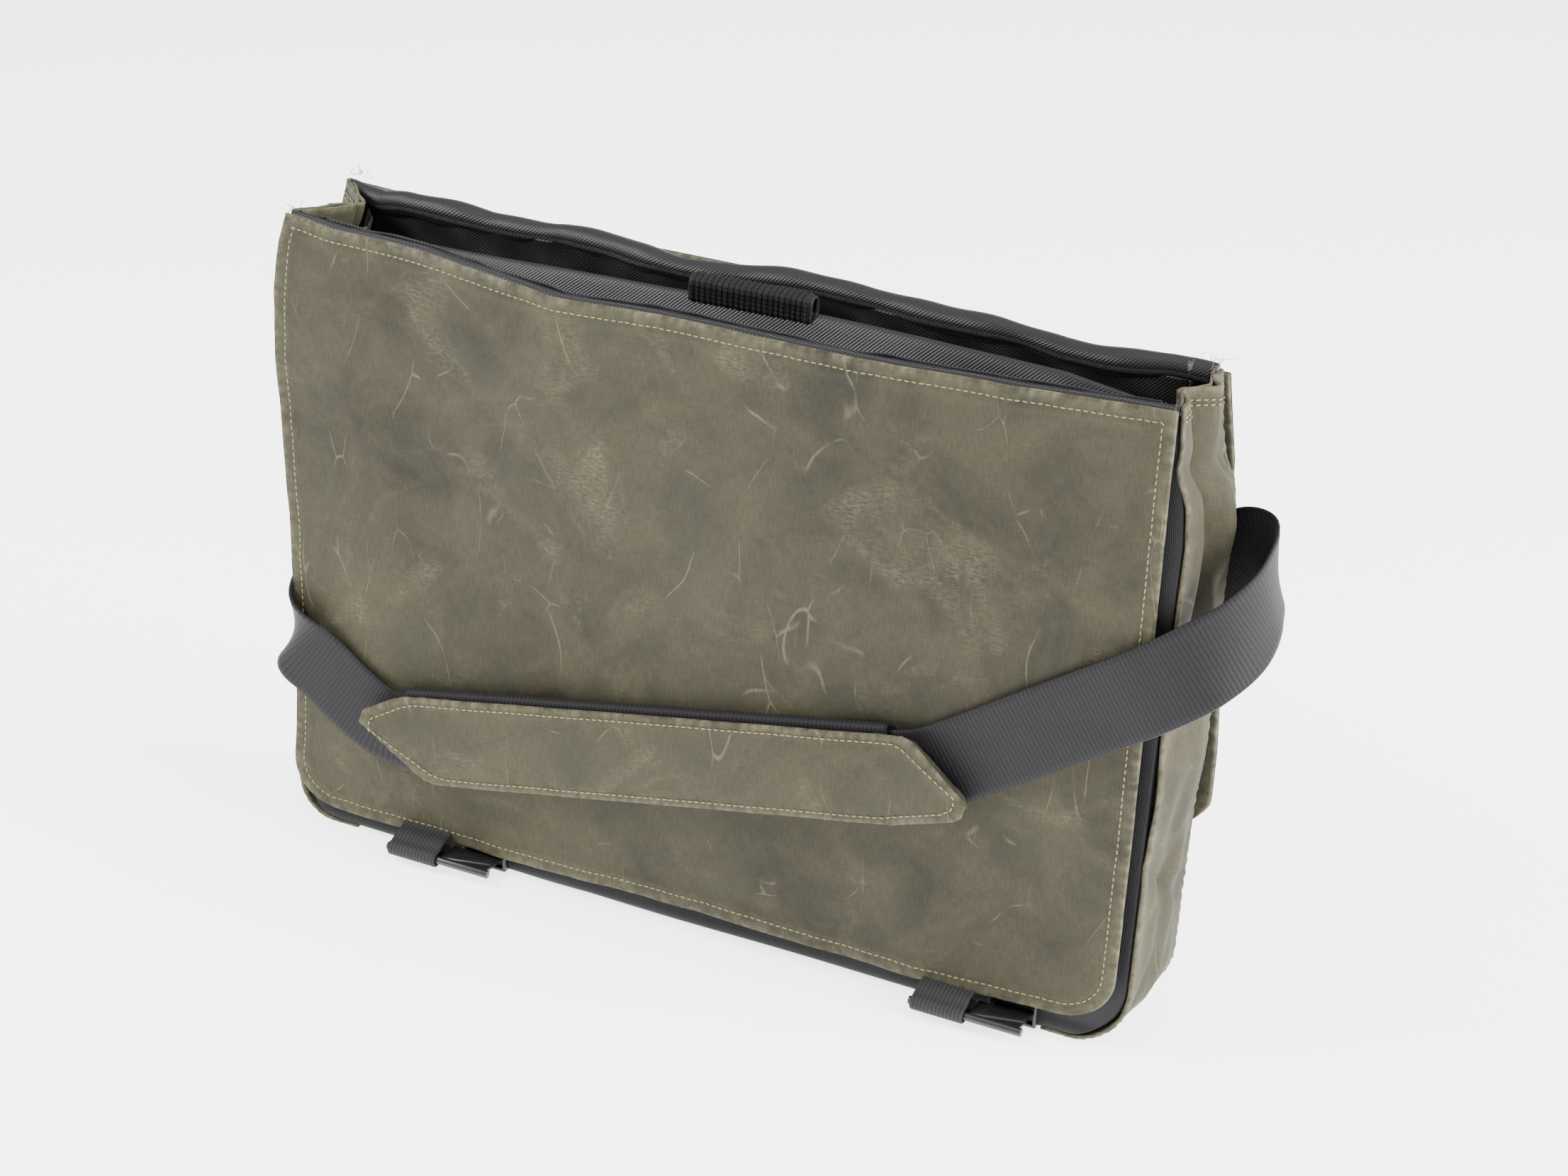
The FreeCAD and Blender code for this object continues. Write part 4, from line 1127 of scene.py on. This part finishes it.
def sleevePlace(a, b):
    # b runs up the back face, over the top edge and down the front face.
    half, y0, y1 = sleeveSet["half"], sleeveSet["back"], sleeveSet["front"]
    r = (y0 - y1) / 2
    turn = np.clip((b - 2 * half) / (np.pi * r), 0, 1) * np.pi
    v = -half + np.clip(b, None, 2 * half) + r * np.sin(turn) - np.clip(b - 2 * half - np.pi * r, 0, None)
    y = (y0 + y1) / 2 + r * np.cos(turn)
    x, z = padPoint(a, v - sleeveSet["drop"])
    return np.stack([x, y, z], -1)


r = (sleeveSet["back"] - sleeveSet["front"]) / 2
total = 2 * sleeveSet["half"] + np.pi * r + 2
a, b = np.meshgrid(np.linspace(-133, 117, 90), np.linspace(0, total, 40))
piece = slab("padSleeve", a, b, sleevePlace, 1.2, webbing)
keep(piece, "pad", "webbing", "pad_sleeve")
print("pad made")


# Rear flap, hanging down behind

flapSet = dict(x=214.0, low=77.0, high=306.4, corner=28.0, stitch=7.5)


def flapPlace(gap, turned=True):
    def place(a, b):
        x = -a if turned else a
        y = 31.0 + gap + 3.4 * smooth(312, 60, b) + 1.0 * np.sin(x / 47.0) * smooth(300, 80, b)
        out = np.interp(b, [74, 86, 102, 129, 163, 268, 286, 312], [5, 8, 15, 15, 13, 8, 5, 1])
        side = np.clip(np.abs(x) / halfWidth, 0, 1) ** 4
        wave = np.interp(x, [-215, -140, -65, 58, 144, 215], [1, -1.5, 0, 2, -1, 0]) * smooth(280, 312, b)
        return np.stack([x + np.where(x > 0, out, -3.0) * side, y, b + wave], -1)
    return place


flapEdges = [-flapSet["x"], flapSet["x"], flapSet["low"], flapSet["high"], flapSet["corner"]]
a, b = panelGrid(*flapEdges, 4.0)
flapLining = slab("flapLining", a, b, flapPlace(1.3), 1.0, packcloth)
flapCanvas = slab("flapCanvas", a, b, flapPlace(-0.2, False), 1.7, canvas, shift=(0, 500),
                  hem=dict(rise=0.5, width=10.0, stitch=flapSet["stitch"]),
                  relief=lambda a, b: 0.3 * ripples(a, b, 81, 50))
for piece, slotName, nodes in (
    (flapCanvas, "waxed_canvas", ("flap_top_canvas", "flap_front_canvas")),
    (flapLining, "packcloth", ("flap_top_lining", "flap_front_lining")),
):
    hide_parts(*nodes)
    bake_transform(piece)
path = insetPath(*flapEdges, flapSet["stitch"])
inside = beads("flapStitches", [pathOn(flapPlace(-0.2, False), path, 1.1)], thread)
outside = beads("flapStitchesRear", [pathOn(flapPlace(1.3), path * [-1, 1], 0.75)], thread)
for piece in (inside, outside):
    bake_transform(piece)
x = np.linspace(-213, 213, 120)
line = flapPlace(2.4, False)(x, np.full(120, 234.5))
welt = tube("flapFoldWelt", line, np.full(120, 1.1), packcloth)
keep(welt, "flap_top", "packcloth", "flap_fold_welt")
print("flap made")


# Loose threads at the corners of the opening

frayedSet = dict(shortest=1.5, longest=4.5, radius=0.11)


def frayedCorner(x, y, z, seed, count):
    random = np.random.default_rng(seed)
    paths = []
    start = soften(np.array([x]), np.array([y]), np.array([z]))[0]
    for _ in range(count):
        go = random.normal(0, 1, 3) * [1.0, 0.8, 0.8] + [0, 0, 0.7]
        go /= np.linalg.norm(go)
        bend = random.normal(0, 0.5, 3)
        long = random.uniform(frayedSet["shortest"], frayedSet["longest"])
        at = start + random.normal(0, 1.0, 3) * [2.2, 2.0, 0.8]
        t = np.linspace(0, 1, 6)[:, None]
        paths.append(at + go * long * t + bend * long * t**2 * 0.6)
    return paths


for name, material, count, spots in (
    ("frayedThreads", darkThread, 14, (
        (-213, -25, 310, 1), (-212, 26, 313, 2), (212, -25, 309, 3), (211, 25, 312, 4))),
    ("frayedYarn", thread, 4, ((-213, -26, 310, 5), (-211, 24, 312, 6), (212, 24, 311, 7))),
):
    paths = [p for x, y, z, seed in spots for p in frayedCorner(x, y, z, seed, count)]
    fray = beads(name, paths, material, spacing=0.7, length=1.1, radius=frayedSet["radius"], tilt=0.0)
    keep(fray, "bag", None)
print("threads made")


# Camera, floor and light

viewSet = dict(azimuth=24.36, elevation=24.82, roll=3.46, place=(0.6412, -1.3522, 0.8581), lens=83.1)
az, el, roll = (math.radians(viewSet[k]) for k in ("azimuth", "elevation", "roll"))
away = Vector((math.sin(az) * math.cos(el), -math.cos(az) * math.cos(el), math.sin(el)))
right = Vector((math.cos(az), math.sin(az), 0))
up = away.cross(right)
right, up = right * math.cos(roll) + up * math.sin(roll), up * math.cos(roll) - right * math.sin(roll)
camera = bpy.data.objects.new("viewCamera", bpy.data.cameras.new("viewCamera"))
bpy.context.collection.objects.link(camera)
camera.data.lens, camera.data.sensor_width = viewSet["lens"], 36.0
camera.matrix_world = Matrix(
    ((right.x, up.x, away.x, 0), (right.y, up.y, away.y, 0), (right.z, up.z, away.z, 0), (0, 0, 0, 1))
)
camera.location = viewSet["place"]
bpy.context.scene.camera = camera

floorMaterial, tree, shader = newMaterial("paleFloor")  # matt paper, evenly pale
shader.inputs["Base Color"].default_value = colour("#F4F4F5")
shader.inputs["Roughness"].default_value = 0.9
shader.inputs["Emission Color"].default_value = (1, 1, 1, 1)
shader.inputs["Emission Strength"].default_value = 2.7
mesh = bpy.data.meshes.new("studioFloor")
mesh.from_pydata([(-40, -40, 0), (40, -40, 0), (40, 40, 0), (-40, 40, 0)], [], [(0, 1, 2, 3)])
mesh.materials.append(floorMaterial)
floor = bpy.data.objects.new("studioFloor", mesh)
bpy.context.collection.objects.link(floor)


def softLight(name, place, target, size, power):
    data = bpy.data.lights.new(name, "AREA")
    data.shape, data.size, data.size_y, data.energy = "RECTANGLE", size[0], size[1], power
    lamp = bpy.data.objects.new(name, data)
    bpy.context.collection.objects.link(lamp)
    lamp.location = place
    lamp.rotation_euler = (Vector(target) - Vector(place)).to_track_quat("-Z", "Y").to_euler()


softLight("topLight", (0.2, -0.3, 2.6), (0, 0, 0.1), (2.4, 2.0), 58)
softLight("rightLight", (2.4, 0.2, 1.2), (0, 0, 0.15), (1.4, 1.4), 215)
softLight("leftLight", (-0.75, -0.6, 0.95), (-0.19, 0, 0.28), (0.35, 0.3), 21)
world = bpy.data.worlds.new("studio")
world.use_nodes = True
world.node_tree.nodes["Background"].inputs[0].default_value = colour("#F5F6F8")
world.node_tree.nodes["Background"].inputs[1].default_value = 0.85
bpy.context.scene.world = world
